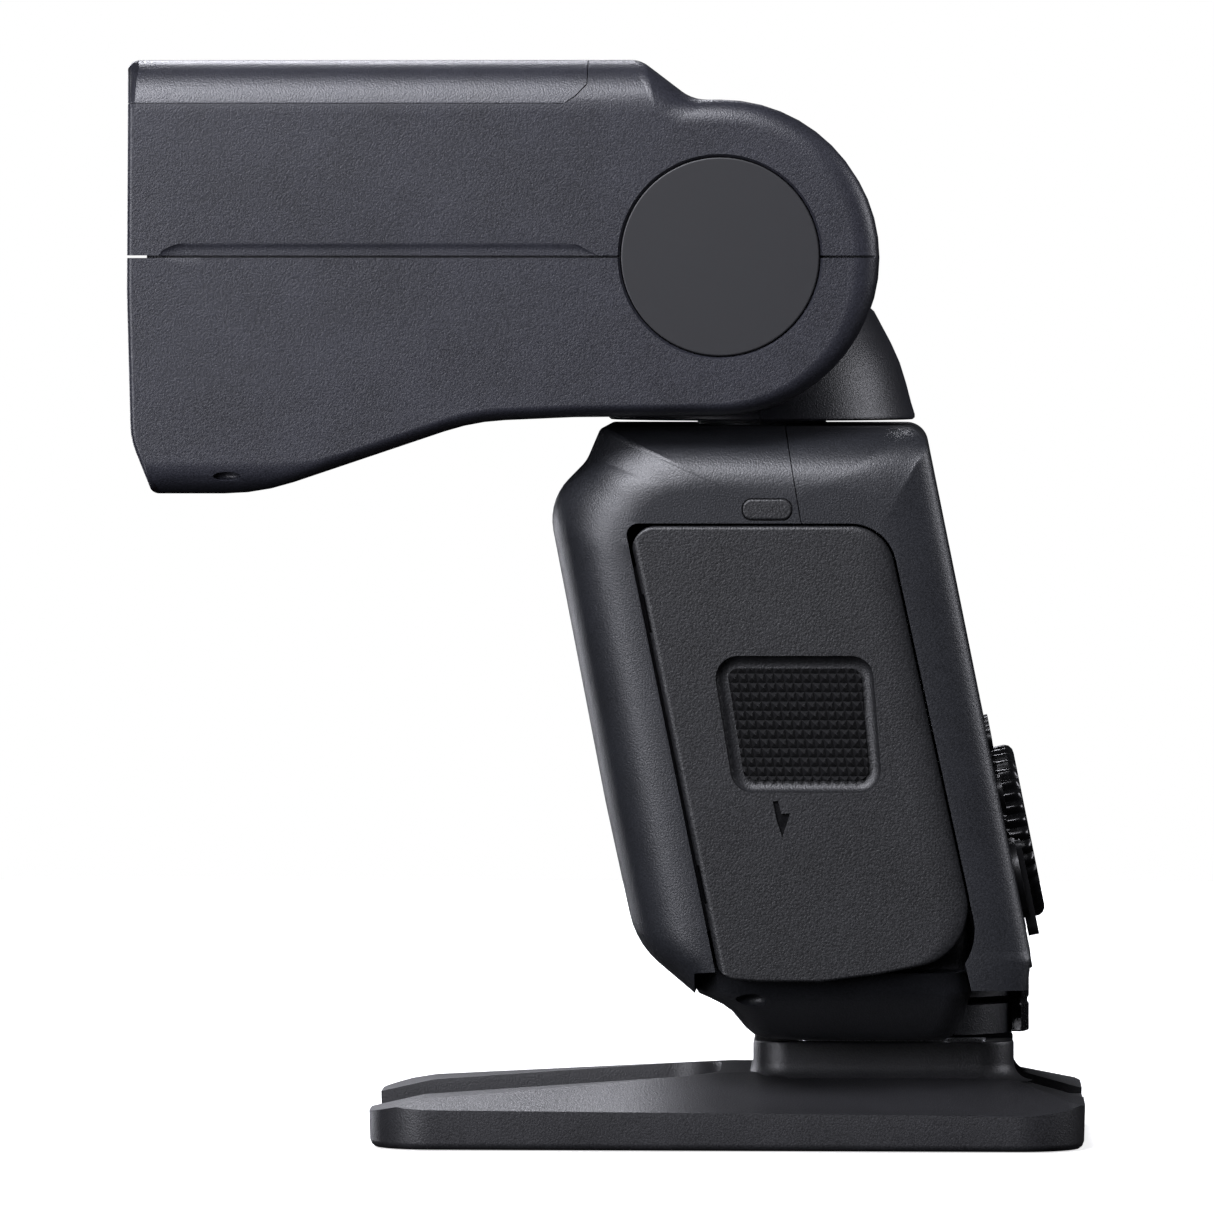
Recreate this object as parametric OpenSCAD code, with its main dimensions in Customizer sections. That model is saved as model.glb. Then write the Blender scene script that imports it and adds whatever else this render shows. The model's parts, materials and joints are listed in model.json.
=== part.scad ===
// Speedlight flash on its shoe stand.
// +Z is up, -Y is the firing direction, +X is the battery door side.
// The origin is on the shoe axis, level with the surface the stand rests on.

/* [Head] */
// Width of the flash head across both ears
head_w = 78; // [74:0.5:82]
// Radius of the ears around the tilt axis
ear_r = 21.6; // [20:0.1:22]
// Radius of the round side caps
cap_r = 13.6; // [11:0.1:15]
// Wall thickness of the head cases
head_wall = 2; // [1.5:0.1:2.4]
// Forward travel of the zoom carriage
zoom_travel = 20; // [10:1:21]

/* [Neck] */
// Width of the neck between the ears
neck_w = 52.4; // [48:0.1:52.6]
// Radius of the swivel disc at the bottom of the neck
swivel_r = 21.4; // [18:0.1:22]

/* [Body] */
// Width of the flash body
body_w = 72; // [70:0.5:74]
// Backward lean of the body from upright, in degrees
lean = 11.5; // [10:0.5:13]
// Wall thickness of the body shells
body_wall = 2; // [1.5:0.1:2.2]
// Diameter of the select dial
dial_d = 24.4; // [20:0.2:25]
// Number of ribs around the dial
dial_ribs = 38; // [20:1:44]

/* [Stand] */
// Width of the stand
stand_w = 70; // [60:1:80]
// Height of the shoe pedestal above the floor
pedestal_h = 14; // [13:0.1:14.2]
// Radius of the quarter-inch tripod thread
thread_r = 3.175; // [3:0.005:3.3]

/* [Hidden] */
$fn = 96;

gap = 0.1;                    // gap between fixed neighbours
run = 0.05;                   // radial clearance of a running fit
far = 200;                    // larger than the whole object
eps = 0.01;

head_x = head_w / 2;
head_top = 150;
head_front = -103.9;
seam_z = 123;                 // seam between the head cases, on the tilt axis
cover_z = 144;                // lower edge of the top cover
tilt_y = -22.6;
tilt_z = seam_z;
neck_x = neck_w / 2;
ear_in = neck_x + 0.4;        // inner face of each ear
ear_mid = head_x - 6;         // bottom of the cap recess
axle_r = 6;
socket_r = ear_r - 0.3;       // hollow between the ears
tongue_r = socket_r - 0.6;
skirt_r = 29;                 // clears the swivel disc as the head tilts

neck_z = 100.3;
swivel_y = -17.35;
swivel_tube_r = 9;

body_x = body_w / 2;
body_top = 99.6;
ref_y = -14.2;                // reference point of the leaning frame
ref_z = 61;
front_p = -26.7;              // front plane in the leaning frame
rear_p = 25.3;                // rear plane in the leaning frame
panel_p = 26.7;               // face of the control panel
lcd_p = 25.9;                 // face of the display window

base_z = 14.7;
foot_z = 7.3;                 // underside of the foot plate
foot_plate = 2;
foot_half = 9.3;
foot_neck = 6.2;
shoe_floor = 6.9;
lock_y = 6;                   // axis of the foot's lock lever
lock_pin_y = -6.6;
lock_pin_r = 0.9;

door_x = body_x + 0.1;        // outer face of the battery door
door_t = 2.2;
hinge_x = door_x - door_t / 2;
hinge_p = -14.6;              // hinge pin in the leaning frame
hinge_r = 0.6;
door_travel = 3;

cell_r = 7.15;
cell_pitch = 15.2;
cell_p = 2.2;                 // middle of the battery block
cell_s = -12;

// ---- helpers ----

function unit(v) = v / norm(v);

// Arc that rounds the corner q between its neighbours p and s
function corner(p, q, s, r, n) = r <= 0 ? [q] :
  let (u = unit(p - q), v = unit(s - q),
       half = acos(u * v) / 2,
       centre = q + unit(u + v) * r / sin(half),
       start = q + u * r / tan(half),
       from = atan2(start[1] - centre[1], start[0] - centre[0]),
       turn = (180 - 2 * half) * sign(cross(q - p, s - q)))
  [for (i = [0:n]) let (a = from + turn * i / n) centre + r * [cos(a), sin(a)]];

function flat(p) = [p[0], p[1]];

// Outline with rounded corners from a list of [y, z, radius]
function rounded(pts, n = 4) = let (m = len(pts))
  [for (i = [0:m - 1]) each corner(flat(pts[(i + m - 1) % m]), flat(pts[i]),
                                   flat(pts[(i + 1) % m]), pts[i][2], n)];

// The same corner list moved inwards by w; the list runs anticlockwise
function inset(pts, w) = let (m = len(pts))
  [for (i = [0:m - 1])
    let (p = flat(pts[(i + m - 1) % m]), q = flat(pts[i]), s = flat(pts[(i + 1) % m]),
         u = unit(p - q), v = unit(s - q), half = acos(u * v) / 2,
         way = sign(cross(q - p, s - q)),
         moved = q + unit(u + v) * way * w / sin(half))
    [moved[0], moved[1], pts[i][2] > 0 ? max(0, pts[i][2] - way * w) : 0]];

// Extrudes a Y-Z outline along X
module across(x0, x1) {
  translate([x0, 0, 0]) rotate([90, 0, 90]) linear_extrude(x1 - x0) children();
}

// Extrudes an X-Z outline along Y
module lengthwise(y0, y1) {
  translate([0, y1, 0]) rotate([90, 0, 0]) linear_extrude(y1 - y0) children();
}

// Cylinder along X
module rod(x0, x1, r) {
  translate([x0, 0, 0]) rotate([0, 90, 0]) cylinder(h = x1 - x0, r = r);
}

// Places children in the leaning frame of the body
module leaning() {
  translate([0, ref_y, ref_z]) rotate([lean, 0, 0]) children();
}

// Box from one corner to the other
module block(low, high) {
  translate(low) cube(high - low);
}

// Rectangle with true round corners
module soft_square(low, high, r) {
  translate(low + [r, 0]) square(high - low - [2 * r, 0]);
  translate(low + [0, r]) square(high - low - [0, 2 * r]);
  for (x = [low[0] + r, high[0] - r], y = [low[1] + r, high[1] - r])
    translate([x, y]) circle(r);
}

// ---- stand ----

stand_front = -71.3;
stand_rear = 27.5;
feet_h = 0.5;
notch_x = 15;
notch_end = -23.5;

module stand_plan() {
  polygon(rounded([[-stand_w / 2 + 3, stand_front, 9], [stand_w / 2 - 3, stand_front, 9],
                   [stand_w / 2, stand_rear, 9], [-stand_w / 2, stand_rear, 9]], 6));
}

module stand_feet_at() {
  for (x = [-1, 1], y = [stand_front + 8, stand_rear - 8])
    translate([x * (stand_w / 2 - 9), y, 0]) children();
}

module stand_base() color("#2b2b2d") {
  side = stand_w / 2;
  difference() {
    union() {
      intersection() {
        translate([0, 0, feet_h]) linear_extrude(12) stand_plan();
        lengthwise(-far, far)
          polygon([[-side - 1, 0], [side + 1, 0], [side + 1, 4.6], [side - 0.6, 4.9], [notch_x, 9.2],
                   [-notch_x, 9.2], [0.6 - side, 4.9], [-side - 1, 4.6]]);
        across(-far, far)
          polygon([[-80, 0], [40, 0], [40, 6.2], [26, 7.4], [18, 9.2], [notch_end, 9.2],
                   [-66, 6.8], [-80, 6]]);
      }
      linear_extrude(pedestal_h) soft_square([-15, -18.4], [15, 17.9], 5);
    }
    // gap between the two wings
    translate([0, 0, -1]) linear_extrude(20) soft_square([-notch_x, -90], [notch_x, notch_end], 7);
    // shoe slot, open towards the rear
    block([-foot_half - gap, -10, shoe_floor], [foot_half + gap, far, foot_z + foot_plate + gap]);
    block([-foot_neck - gap, -10, shoe_floor], [foot_neck + gap, far, far]);
    block([-foot_half - gap, 18, 5.2], [foot_half + gap, far, far]);
    translate([0, lock_pin_y, 4.8]) cylinder(h = 3, r = lock_pin_r + 0.25);
    translate([0, 0, -1]) cylinder(h = 7.4, r = 4.8);
    stand_feet_at() translate([0, 0, -1]) cylinder(h = 2.2, r = 4);
  }
}

module stand_feet() color("#1a1a1b") {
  stand_feet_at() cylinder(h = 1.2, r = 4);
}

module tripod_bush() color("#b08d4a") {
  difference() {
    cylinder(h = 6.4, r = 4.8);
    translate([0, 0, -1]) cylinder(h = 10, r = thread_r);
  }
}

// Thin steel plate that presses on top of the foot, let into the pedestal's lips
module shoe_spring_plate() color("#8e9094") {
  for (s = [-1, 1])
    translate([s * 12, 0, pedestal_h]) linear_extrude(0.3) soft_square([-2, -12], [2, 14], 1);
}

// ---- foot and lock ----

module hot_shoe_foot() color("#8e9094") {
  difference() {
    union() {
      block([-foot_half, -9, foot_z], [foot_half, 9, foot_z + foot_plate]);
      block([-foot_neck, -9, foot_z + 1], [foot_neck, 9, base_z]);
      translate([0, 0, base_z]) linear_extrude(1.2) soft_square([-14, -12], [14, 9.4], 3);
    }
    translate([0, lock_pin_y, 0]) cylinder(h = 30, r = lock_pin_r + run);
  }
}

module foot_contacts() color("#c9b37a") {
  for (p = [[0, 0, 1.6], [-4, 3, 1], [4, 3, 1], [-4, -1, 1], [4, -1, 1]])
    translate([p[0], p[1], foot_z - 0.2]) cylinder(h = 0.2, r = p[2]);
}

module lock_block() color("#262628") {
  difference() {
    intersection() {
      block([-13, 9.6, base_z], [13, 19, 22]);
      translate([0, lock_y, 0]) cylinder(h = 30, r = 12.2);
    }
    block([-14, 8, 18.8], [14, 20, 19.9]);
  }
  block([-4, 8.6, base_z + 1.3], [4, 9.6, 18.7]);
}

// Finger plate on an arm, turning about the vertical lock axis
module lock_lever() color("#101011") {
  translate([0, lock_y, 0]) {
    difference() {
      intersection() {
        translate([0, 0, base_z + 0.1]) difference() {
          cylinder(h = 7.3, r = 14.1);
          translate([0, 0, -1]) cylinder(h = 12, r = 12.5);
        }
        rotate([0, 0, 90]) linear_extrude(40)
          polygon([[0, 0], [20, -8.4], [20, 8.4]]);
      }
      translate([0, 0, 18.6]) difference() {
        cylinder(h = 0.9, r = 15);
        translate([0, 0, -1]) cylinder(h = 3, r = 13.9);
      }
    }
    translate([0, 0, 19]) linear_extrude(0.8) difference() {
      union() {
        circle(3.4);
        translate([-3, 0]) square([6, 12.6]);
      }
      circle(1.25);
    }
  }
}

module lock_pin() color("#b9bbbe") {
  translate([0, lock_pin_y, foot_z + 0.1]) cylinder(h = 11, r = lock_pin_r);
}

// ---- body ----

// Side outline of the body, anticlockwise, as [y, z, radius]
body_side = [[-23.3, 19, 0], [19.2, 19, 0], [20.1, 27, 6], [6.0, body_top - 3, 6],
             [3.3, body_top, 1], [-39.2, body_top, 1.2], [-41.2, 94.9, 5], [-46.6, 89.4, 8],
             [-38.6, 47.8, 60], [-34.4, 28.4, 12]];

// Everything below this outline belongs to the base cover
base_zone = [[-26.2, -5], [-26.2, 24.6], [-22.3, 24.9], [-17.6, 23.6], [-9, 23.1], [-2, 24.2],
             [5, 25.8], [10.4, 28.2], [11.8, 22.3], [30, 22.3], [30, -5]];

module body_block(w) {
  x = body_x - w;
  top = body_top - w;
  intersection() {
    across(-x, x) polygon(rounded(inset(body_side, w)));
    leaning() translate([0, 0, -60]) linear_extrude(120) union() {
      translate([-x, front_p + w + 9 - w / 2]) square([2 * x, 60]);
      translate([-x + 9 - w / 2, front_p + w]) square([2 * (x - 9 + w / 2), 60]);
      for (s = [-1, 1])
        translate([s * (x - 9 + w / 2), front_p + w + 9 - w / 2]) circle(9 - w / 2);
    }
    lengthwise(-far, far) union() {
      translate([-x, -10]) square([2 * x, top]);
      translate([-x + 10 - w / 2, 0]) square([2 * (x - 10 + w / 2), top]);
      for (s = [-1, 1]) translate([s * (x - 10 + w / 2), top - 10 + w / 2]) circle(10 - w / 2);
    }
  }
}

// Part of the body's shell inside an outline, open at the bottom, behind the door
// and under the swivel
module body_shell(part) {
  difference() {
    intersection() {
      body_block(0);
      across(-50, 50) polygon(part);
    }
    body_block(body_wall);
    across(-60, 60) polygon(base_zone);
    for (slid = [0, door_travel])
      across(body_x - 4, far) translate([slid * sin(lean), -slid * cos(lean)]) polygon(rounded(door_hole));
    translate([0, swivel_y, 90]) cylinder(h = 20, r = swivel_tube_r + run);
    leaning() {
      block([-26, rear_p - 4, -5], [26, far, 20.5]);
      block([-30, rear_p - 4, -40], [30, far, -8]);
      block([-31, rear_p - 0.8, -6.4], [31, far, 22.4]);
      block([-31.5, rear_p - 0.8, -42], [31.5, far, -6.6]);
      block([-20, -far, -24], [20, front_p + 4, -2]);
    }
    translate([body_x - 0.8, 0, 0]) across(0, far) plug_outline();
    across(-far, 2 - body_x) terminal_outline(0.1);
  }
}

seam_line = [[-13.8, 110], [-13.8, 99.8], [-11.6, 86.8], [10.4, 28.2], [11.8, 22.3], [11.8, 5]];

module front_shell() color("#2c2d30") {
  body_shell(concat([[-60, 5], [-60, 110]], seam_line));
}

module rear_shell() color("#29292b") {
  body_shell(concat([[40, 5], [40, 110]], seam_line));
}

module plug_outline() {
  translate([-19.6, 86.9]) soft_square([0, 0], [6.8, 2.9], 1.4);
}

module side_plug() color("#222224") {
  across(body_x - 0.8, body_x) plug_outline();
}

// Lower housing between the shells and the shoe foot
module base_cover() color("#28282a") {
  side = [[-25.9, 21.3, 1], [-21.4, 18.8, 3], [-18.6, base_z, 2], [9.2, base_z, 1],
          [10.6, 17, 1], [11.9, 22.1, 0], [10.3, 28, 0], [8.5, 30, 0], [-20, 30, 0],
          [-22.4, 24.8, 0], [-26.1, 24.5, 0]];
  top_x = body_x - body_wall - 0.3;
  front_view = [[-24.5, base_z, 1], [24.5, base_z, 1], [30, 20.5, 14], [top_x, 31, 0],
                [-top_x, 31, 0], [-30, 20.5, 14]];
  difference() {
    intersection() {
      across(-top_x, top_x) polygon(rounded(side, 3));
      lengthwise(-far, far) polygon(rounded(front_view));
    }
    intersection() {
      across(-top_x + 2, top_x - 2) polygon([[-17, base_z + 4.2], [8, base_z + 4.2], [8, 40], [-17, 40]]);
      lengthwise(-far, far) polygon(rounded(inset(front_view, 2)));
    }
    translate([0, 0, base_z - eps]) linear_extrude(1.2 + eps + gap)
      soft_square([-14.1, -12.1], [14.1, 9.5], 3);
    block([-13.1, 9.5, base_z - 1], [13.1, 20, 22.1]);
    block([-4.1, 8.5, base_z + 1.2], [4.1, 20, base_z + 4.3]);
    translate([0, lock_pin_y, 0]) cylinder(h = 30, r = lock_pin_r + run);
    translate([0, lock_y, base_z + 4.2]) cylinder(h = 4, r = 14.4);
    base_screws_at() translate([0, 0, -1]) cylinder(h = 3.4, r = 2.4);
    base_screws_at() cylinder(h = 8, r = 1.1);
  }
  translate([0, lock_y, base_z + 3]) cylinder(h = 4, r = 1.2);
}

module base_screws_at() {
  for (x = [-19, 19], y = [-13, 4]) translate([x, y, base_z]) children();
}

module base_screws() color("#77797d") {
  base_screws_at() difference() {
    union() {
      translate([0, 0, 0.5]) cylinder(h = 1.7, r = 2.2);
      cylinder(h = 6, r = 1.1);
    }
    for (a = [0, 90]) rotate([0, 0, a]) block([-1.5, -0.3, -1], [1.5, 0.3, 1.3]);
  }
}

module af_assist_window() color("#4a0d12") {
  leaning() block([-19.9, front_p + 0.2, -23.9], [19.9, front_p + 2.6, -2.1]);
}

module battery_cells_at() {
  for (i = [-1, 1], j = [-1, 1])
    leaning() translate([0, cell_p + i * cell_pitch / 2, cell_s + j * cell_pitch / 2]) children();
}

cage_back = -20;
cage_open = body_x - 2.9;

module battery_cage() color("#3a3a3e") {
  reach = cell_pitch + 0.5;
  difference() {
    leaning() block([cage_back, cell_p - reach, cell_s - reach],
                    [cage_open, cell_p + reach, cell_s + reach]);
    battery_cells_at() rod(cage_back + 1.8, far, cell_r + 0.25);
  }
}

module battery_cells() color("#b9bcc2") {
  battery_cells_at() {
    rod(cage_back + 3.6, cage_open - 1.2, cell_r);
    rod(cage_open - 1.2, cage_open - 0.3, 2.7);
  }
}

module battery_springs() color("#c8cacd") {
  battery_cells_at() {
    rod(cage_back + 1.8, cage_back + 2.4, 5);
    rod(cage_back + 2.4, cage_back + 3, 3.6);
    rod(cage_back + 3, cage_back + 3.6, 2.2);
  }
}

module flash_capacitor() color("#1d2430") {
  leaning() translate([0, 3, 20]) {
    rod(-26, 22, 13);
    rod(22, 24, 11.4);
    for (p = [-4, 4]) translate([0, p, 0]) rod(24, 28, 0.5);
  }
}

module main_board() color("#1f4a33") {
  leaning() {
    block([-29, -20, -29], [29, -18.4, 26]);
    block([-22, -18.4, -24], [-8, -15.6, -12]);
    block([4, -18.4, -6], [20, -16.2, 8]);
  }
}

module lcd_module() color("#4d5a50") {
  leaning() block([-24, rear_p - 3.6, -4], [24, rear_p - 1.2, 19.6]);
}

module lcd_window() color("#141517") {
  leaning() block([-30.9, rear_p - 0.7, -6.3], [30.9, lcd_p, 22.3]);
}

// ---- controls on the rear face ----

dial_s = -24.5;
fn_s = -10.2;
fn_x = [-24, -8, 8, 24];
side_x = 22.4;
mode_s = -17.8;
option_s = -29.6;

module on_panel(x, s) {
  leaning() translate([x, 0, s]) rotate([-90, 0, 0]) children();
}

module oval_button(w, h, low, high) {
  translate([0, 0, low]) linear_extrude(high - low)
    soft_square([-w / 2, -h / 2], [w / 2, h / 2], h / 2 - 0.1);
}

module control_panel() color("#252527") {
  difference() {
    leaning() block([-31.4, rear_p - 0.7, -41.9], [31.4, panel_p, -6.7]);
    on_panel(0, dial_s) translate([0, 0, rear_p + 0.5]) cylinder(h = 5, r = dial_d / 2 + 0.4);
    on_panel(0, dial_s) translate([0, 0, rear_p - 5]) cylinder(h = 9, r = 3.05);
    for (x = fn_x) on_panel(x, fn_s) oval_button(9.3, 3.3, rear_p - 5, 40);
    for (s = [mode_s, option_s]) on_panel(-side_x, s) oval_button(8.3, 5.3, rear_p - 5, 40);
    on_panel(side_x, mode_s) oval_button(8.3, 5.3, rear_p - 5, 40);
    on_panel(side_x, option_s) translate([0, 0, rear_p + 0.5]) cylinder(h = 5, r = 5.6);
    on_panel(side_x, option_s) translate([0, 0, rear_p - 5]) cylinder(h = 9, r = 1.55);
  }
}

module select_dial() color("#0f0f10") {
  on_panel(0, dial_s) {
    difference() {
      translate([0, 0, rear_p + 0.8]) cylinder(h = 30 - rear_p - 0.8, r = dial_d / 2);
      translate([0, 0, panel_p + 0.3]) cylinder(h = 6, r = dial_d / 2 - 3.4);
      for (i = [0:dial_ribs - 1]) rotate([0, 0, i * 360 / dial_ribs])
        translate([dial_d / 2 + 0.35, 0, panel_p + 0.4]) cylinder(h = 6, r = 0.75, $fn = 16);
    }
    translate([0, 0, rear_p - 4]) cylinder(h = 5, r = 3);
  }
}

dish_r = 24;                  // finger dish in the face of the set button
dish_depth = 0.4;

module set_button() color("#1b1b1c") {
  on_panel(0, dial_s) difference() {
    translate([0, 0, panel_p + 1.2]) cylinder(h = 1.9, r = dial_d / 2 - 3.6);
    translate([0, 0, panel_p + 3.1 + dish_r - dish_depth]) sphere(dish_r);
  }
}

module sprung_key(w, h, high) {
  oval_button(w, h, rear_p - 1.2, high);
}

// Function button in place i, counted from 0
module function_button(i) color("#1b1b1c") {
  on_panel(fn_x[i], fn_s) sprung_key(9.1, 3.1, panel_p + 0.7);
}

module mode_button() color("#1b1b1c") {
  on_panel(-side_x, mode_s) sprung_key(8.1, 5.1, panel_p + 0.8);
}

module option_button() color("#1b1b1c") {
  on_panel(-side_x, option_s) sprung_key(8.1, 5.1, panel_p + 0.8);
}

module test_button() color("#3d2322") {
  on_panel(side_x, mode_s) sprung_key(8.1, 5.1, panel_p + 0.8);
}

module power_lever() color("#161617") {
  on_panel(side_x, option_s) {
    translate([0, 0, rear_p + 0.7]) cylinder(h = panel_p + 1 - rear_p - 0.7, r = 5.4);
    translate([0, 0, panel_p + 0.3]) linear_extrude(1.5) soft_square([-1.3, -5], [1.3, 8.4], 1.2);
    translate([0, 0, rear_p - 3]) cylinder(h = 5, r = 1.5);
  }
}

// ---- terminals on the left side ----

module terminal_outline(grow) {
  polygon(rounded(inset([[3.5, 42, 2.4], [13.5, 42, 2.4], [9, 64, 2.4], [-1, 64, 2.4]], -grow)));
}

module terminal_cover() color("#1c1c1d") {
  across(-body_x - 0.4, 1 - body_x) terminal_outline(0);
}

module sync_socket() color("#8e9094") {
  for (p = [[4.6, 58], [8.1, 48]]) translate([0, p[0], p[1]]) difference() {
    rod(-body_x + 4, -body_x + 9, 3.4);
    rod(-body_x + 3, -body_x + 8, 1.6);
  }
}

// ---- battery door ----

door_side = [[-22.75, 23.9, 3.4], [-9, 22.9, 60], [12.9, 27.3, 8], [0.1, 86.1, 6], [-35.4, 86.1, 3.2]];
// Opening for the door, squarer at the top front, where the door's corner swings past it
door_hole = let (h = inset(door_side, -0.35)) [h[0], h[1], h[2], h[3], [h[4][0], h[4][1], 1.6]];
grip_side = [[-20.7, 49.6, 3], [-0.4, 49.6, 3], [-1.9, 68.2, 3], [-23.7, 68.2, 3]];
grip_floor = door_x - 1.1;

module hinge_line(s0, s1, r) {
  leaning() translate([hinge_x, hinge_p, s0]) cylinder(h = s1 - s0, r = r);
}

lug_s = [-24, 14];
lug_len = 5;

// Section of the door, whose front edge is round about the hinge pin
door_section = concat(
  [for (i = [0:10]) [hinge_x + door_t / 2 * cos(18 * i), hinge_p - door_t / 2 * sin(18 * i)]],
  [[door_x - door_t, 40], [door_x, 40]]);

module battery_door() color("#262628") {
  difference() {
    intersection() {
      leaning() translate([0, 0, -60]) linear_extrude(120) polygon(door_section);
      across(body_x - 6, body_x + 6) polygon(rounded(door_side));
    }
    hinge_line(-60, 60, hinge_r + run);
    for (s = lug_s) leaning()
      block([body_x - 6, hinge_p - 4, s - 0.3], [body_x + 6, hinge_p + 2.7, s + lug_len + 0.3]);
    across(grip_floor, body_x + 6) polygon(rounded(grip_side));
  }
}

module door_grip_pad() color("#18181a") {
  across(grip_floor, door_x - 0.5) polygon(rounded(inset(grip_side, 1.6)));
}

module door_contact_plate() color("#c8cacd") {
  leaning() for (j = [-1, 1])
    block([door_x - door_t - 0.4, cell_p - 12, cell_s + j * cell_pitch / 2 - 4],
          [door_x - door_t, cell_p + 12, cell_s + j * cell_pitch / 2 + 4]);
}

module door_hinge_pin() color("#b9bbbe") {
  hinge_line(lug_s[0] - 6, lug_s[1] + lug_len + 6, hinge_r);
}

// Rail that carries the hinge pin and slides in the front shell
module door_slide_rail() color("#77797d") {
  difference() {
    union() {
      leaning() block([body_x - 4.4, hinge_p - 4, lug_s[0] - 4],
                      [body_x - body_wall - 0.4, hinge_p - 0.3, lug_s[1] + lug_len + 4]);
      for (s = lug_s) {
        hinge_line(s, s + lug_len, 1);
        leaning() block([body_x - 4.4, hinge_p - 1, s], [hinge_x, hinge_p + 1, s + lug_len]);
      }
    }
    hinge_line(-60, 60, hinge_r);
  }
}

// ---- neck ----

module swivel_tube() color("#55575b") {
  translate([0, swivel_y, 0]) difference() {
    union() {
      translate([0, 0, 94.6]) cylinder(h = 11, r = swivel_tube_r);
      translate([0, 0, 94.6]) cylinder(h = 2.6, r = 12);
    }
    translate([0, 0, 90]) cylinder(h = 20, r = 6);
  }
}

module neck_block() {
  difference() {
    union() {
      intersection() {
        translate([0, swivel_y, 0]) rotate_extrude()
          polygon([[0, neck_z], [swivel_r, neck_z], [swivel_r, neck_z + 0.6], [20.2, 105.3],
                   [18.1, 110.9], [15.7, 115.4], [12, 118.6], [0, 118.6]]);
        block([-neck_x, -far, 0], [neck_x, far, far]);
      }
      translate([0, tilt_y, tilt_z]) rod(-neck_x, neck_x, tongue_r);
    }
    translate([0, tilt_y, tilt_z]) rod(-far, far, axle_r);
    translate([0, tilt_y, tilt_z]) rod(-neck_x + 3, neck_x - 3, tongue_r - 3);
    translate([0, swivel_y, 90]) cylinder(h = 15.6, r = swivel_tube_r);
    translate([0, swivel_y, 90]) cylinder(h = 24, r = 6);
  }
}

module neck_front_shell() color("#2a2b2e") {
  intersection() {
    neck_block();
    block([-far, -far, 0], [far, swivel_y, far]);
  }
}

module neck_rear_shell() color("#27282a") {
  intersection() {
    neck_block();
    block([-far, swivel_y, 0], [far, far, far]);
  }
}

module tilt_axle() color("#8e9094") {
  translate([0, tilt_y, tilt_z]) difference() {
    rod(-ear_mid + 0.2, ear_mid + 0.1, axle_r);
    rod(-far, far, 4);
  }
}

module tilt_detent_plate() color("#a7a9ac") {
  translate([0, tilt_y, tilt_z]) difference() {
    rod(ear_mid + 0.1, ear_mid + 1.6, 11);
    rod(0, far, 2);
    for (i = [0:9]) rotate([i * 15 - 60, 0, 0]) translate([0, 0, 9]) rod(0, far, 0.9);
  }
}

// ---- head ----

// Side outline of the head in front of the tilt axis, as [y, z, radius]
head_side = [[tilt_y + 6, 103.2, 0], [-26.6, 102, 0], [-42.7, 101, 30], [-56.4, 100.4, 30], [-85.8, 90.5, 30],
             [-100.4, 90.5, 1], [-103.4, 98, 20], [head_front, 118, 0], [head_front, head_top, 1.4],
             [-33.6, head_top, 4], [-26.2, 144.4, 6], [tilt_y + 6, 143.2, 0]];

cover_side = [[-far, cover_z], [-44, cover_z], [-42.5, 145], [-40.9, 146.7], [-39.2, far], [-far, far]];

module head_block() {
  intersection() {
    union() {
      across(-head_x, head_x) polygon(rounded(head_side));
      translate([0, tilt_y, tilt_z]) rod(-head_x, head_x, ear_r);
    }
    lengthwise(-far, far) soft_square([-head_x, 80], [head_x, head_top], 6);
    lengthwise(-far, far) polygon([[-34, 89], [34, 89], [head_x, 97], [head_x, 160], [-head_x, 160],
                                   [-head_x, 97]]);
  }
}

module head_cavity() {
  w = head_wall;
  x = head_x - w;
  intersection() {
    across(-x, x) difference() {
      polygon([[-far, 93], [-84, 93], [-62, 102], [-44, 104.5], [-36, 147], [-far, 147]]);
      translate([tilt_y, tilt_z]) circle(socket_r + w);
    }
    lengthwise(-far, -30) soft_square([-x, 93], [x, cover_z - 1.6], 4);
  }
}

// Hollow between the ears, in which the neck stands
module neck_space() {
  across(-ear_in, ear_in) {
    translate([tilt_y, tilt_z]) circle(socket_r);
    intersection() {
      translate([tilt_y, tilt_z]) circle(skirt_r);
      translate([-60, 80]) square([80, 31.5]);
    }
    translate([-21.5, 90]) square([40, 80]);
  }
  across(-31, 31) polygon([[-29, 90], [-44, 90], [-44, 103.2], [-29, 101.2]]);
}

module head_hollows() {
  head_cavity();
  neck_space();
  translate([0, tilt_y, tilt_z]) {
    rod(-ear_mid, ear_mid, axle_r + run);
    rod(ear_mid, far, cap_r + gap);
    rod(-far, -ear_mid, cap_r + gap);
  }
  block([-far, -far, seam_z - 0.2], [far, -101.2, seam_z + 0.2]);
}

module head_lower_case() color("#2e3035") {
  difference() {
    head_block();
    head_hollows();
    block([-far, -far, seam_z], [far, far, far]);
  }
}

module head_upper_case() color("#2e3035") {
  difference() {
    head_block();
    head_hollows();
    block([-far, -far, 0], [far, far, seam_z]);
    across(-far, far) polygon(cover_side);
  }
}

panel_z = 145;
card_z = 147.2;
slot_x = 30;

module head_top_cover() color("#303238") {
  difference() {
    intersection() {
      head_block();
      across(-far, far) polygon(cover_side);
    }
    block([-slot_x - 0.5, -far, cover_z - 1], [slot_x + 0.5, -44.5, panel_z + 3.6]);
  }
}

module tilt_cap(s) {
  translate([0, tilt_y, tilt_z])
    rod(s > 0 ? ear_mid + 2 : -head_x - 0.1, s > 0 ? head_x + 0.1 : -ear_mid - 2, cap_r);
}

module tilt_cap_right() color("#2d2f33") {
  tilt_cap(1);
}

release_r = 7;

module tilt_cap_left() color("#2d2f33") {
  difference() {
    tilt_cap(-1);
    translate([0, tilt_y, tilt_z]) rod(-far, 0, release_r + run);
  }
}

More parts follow.
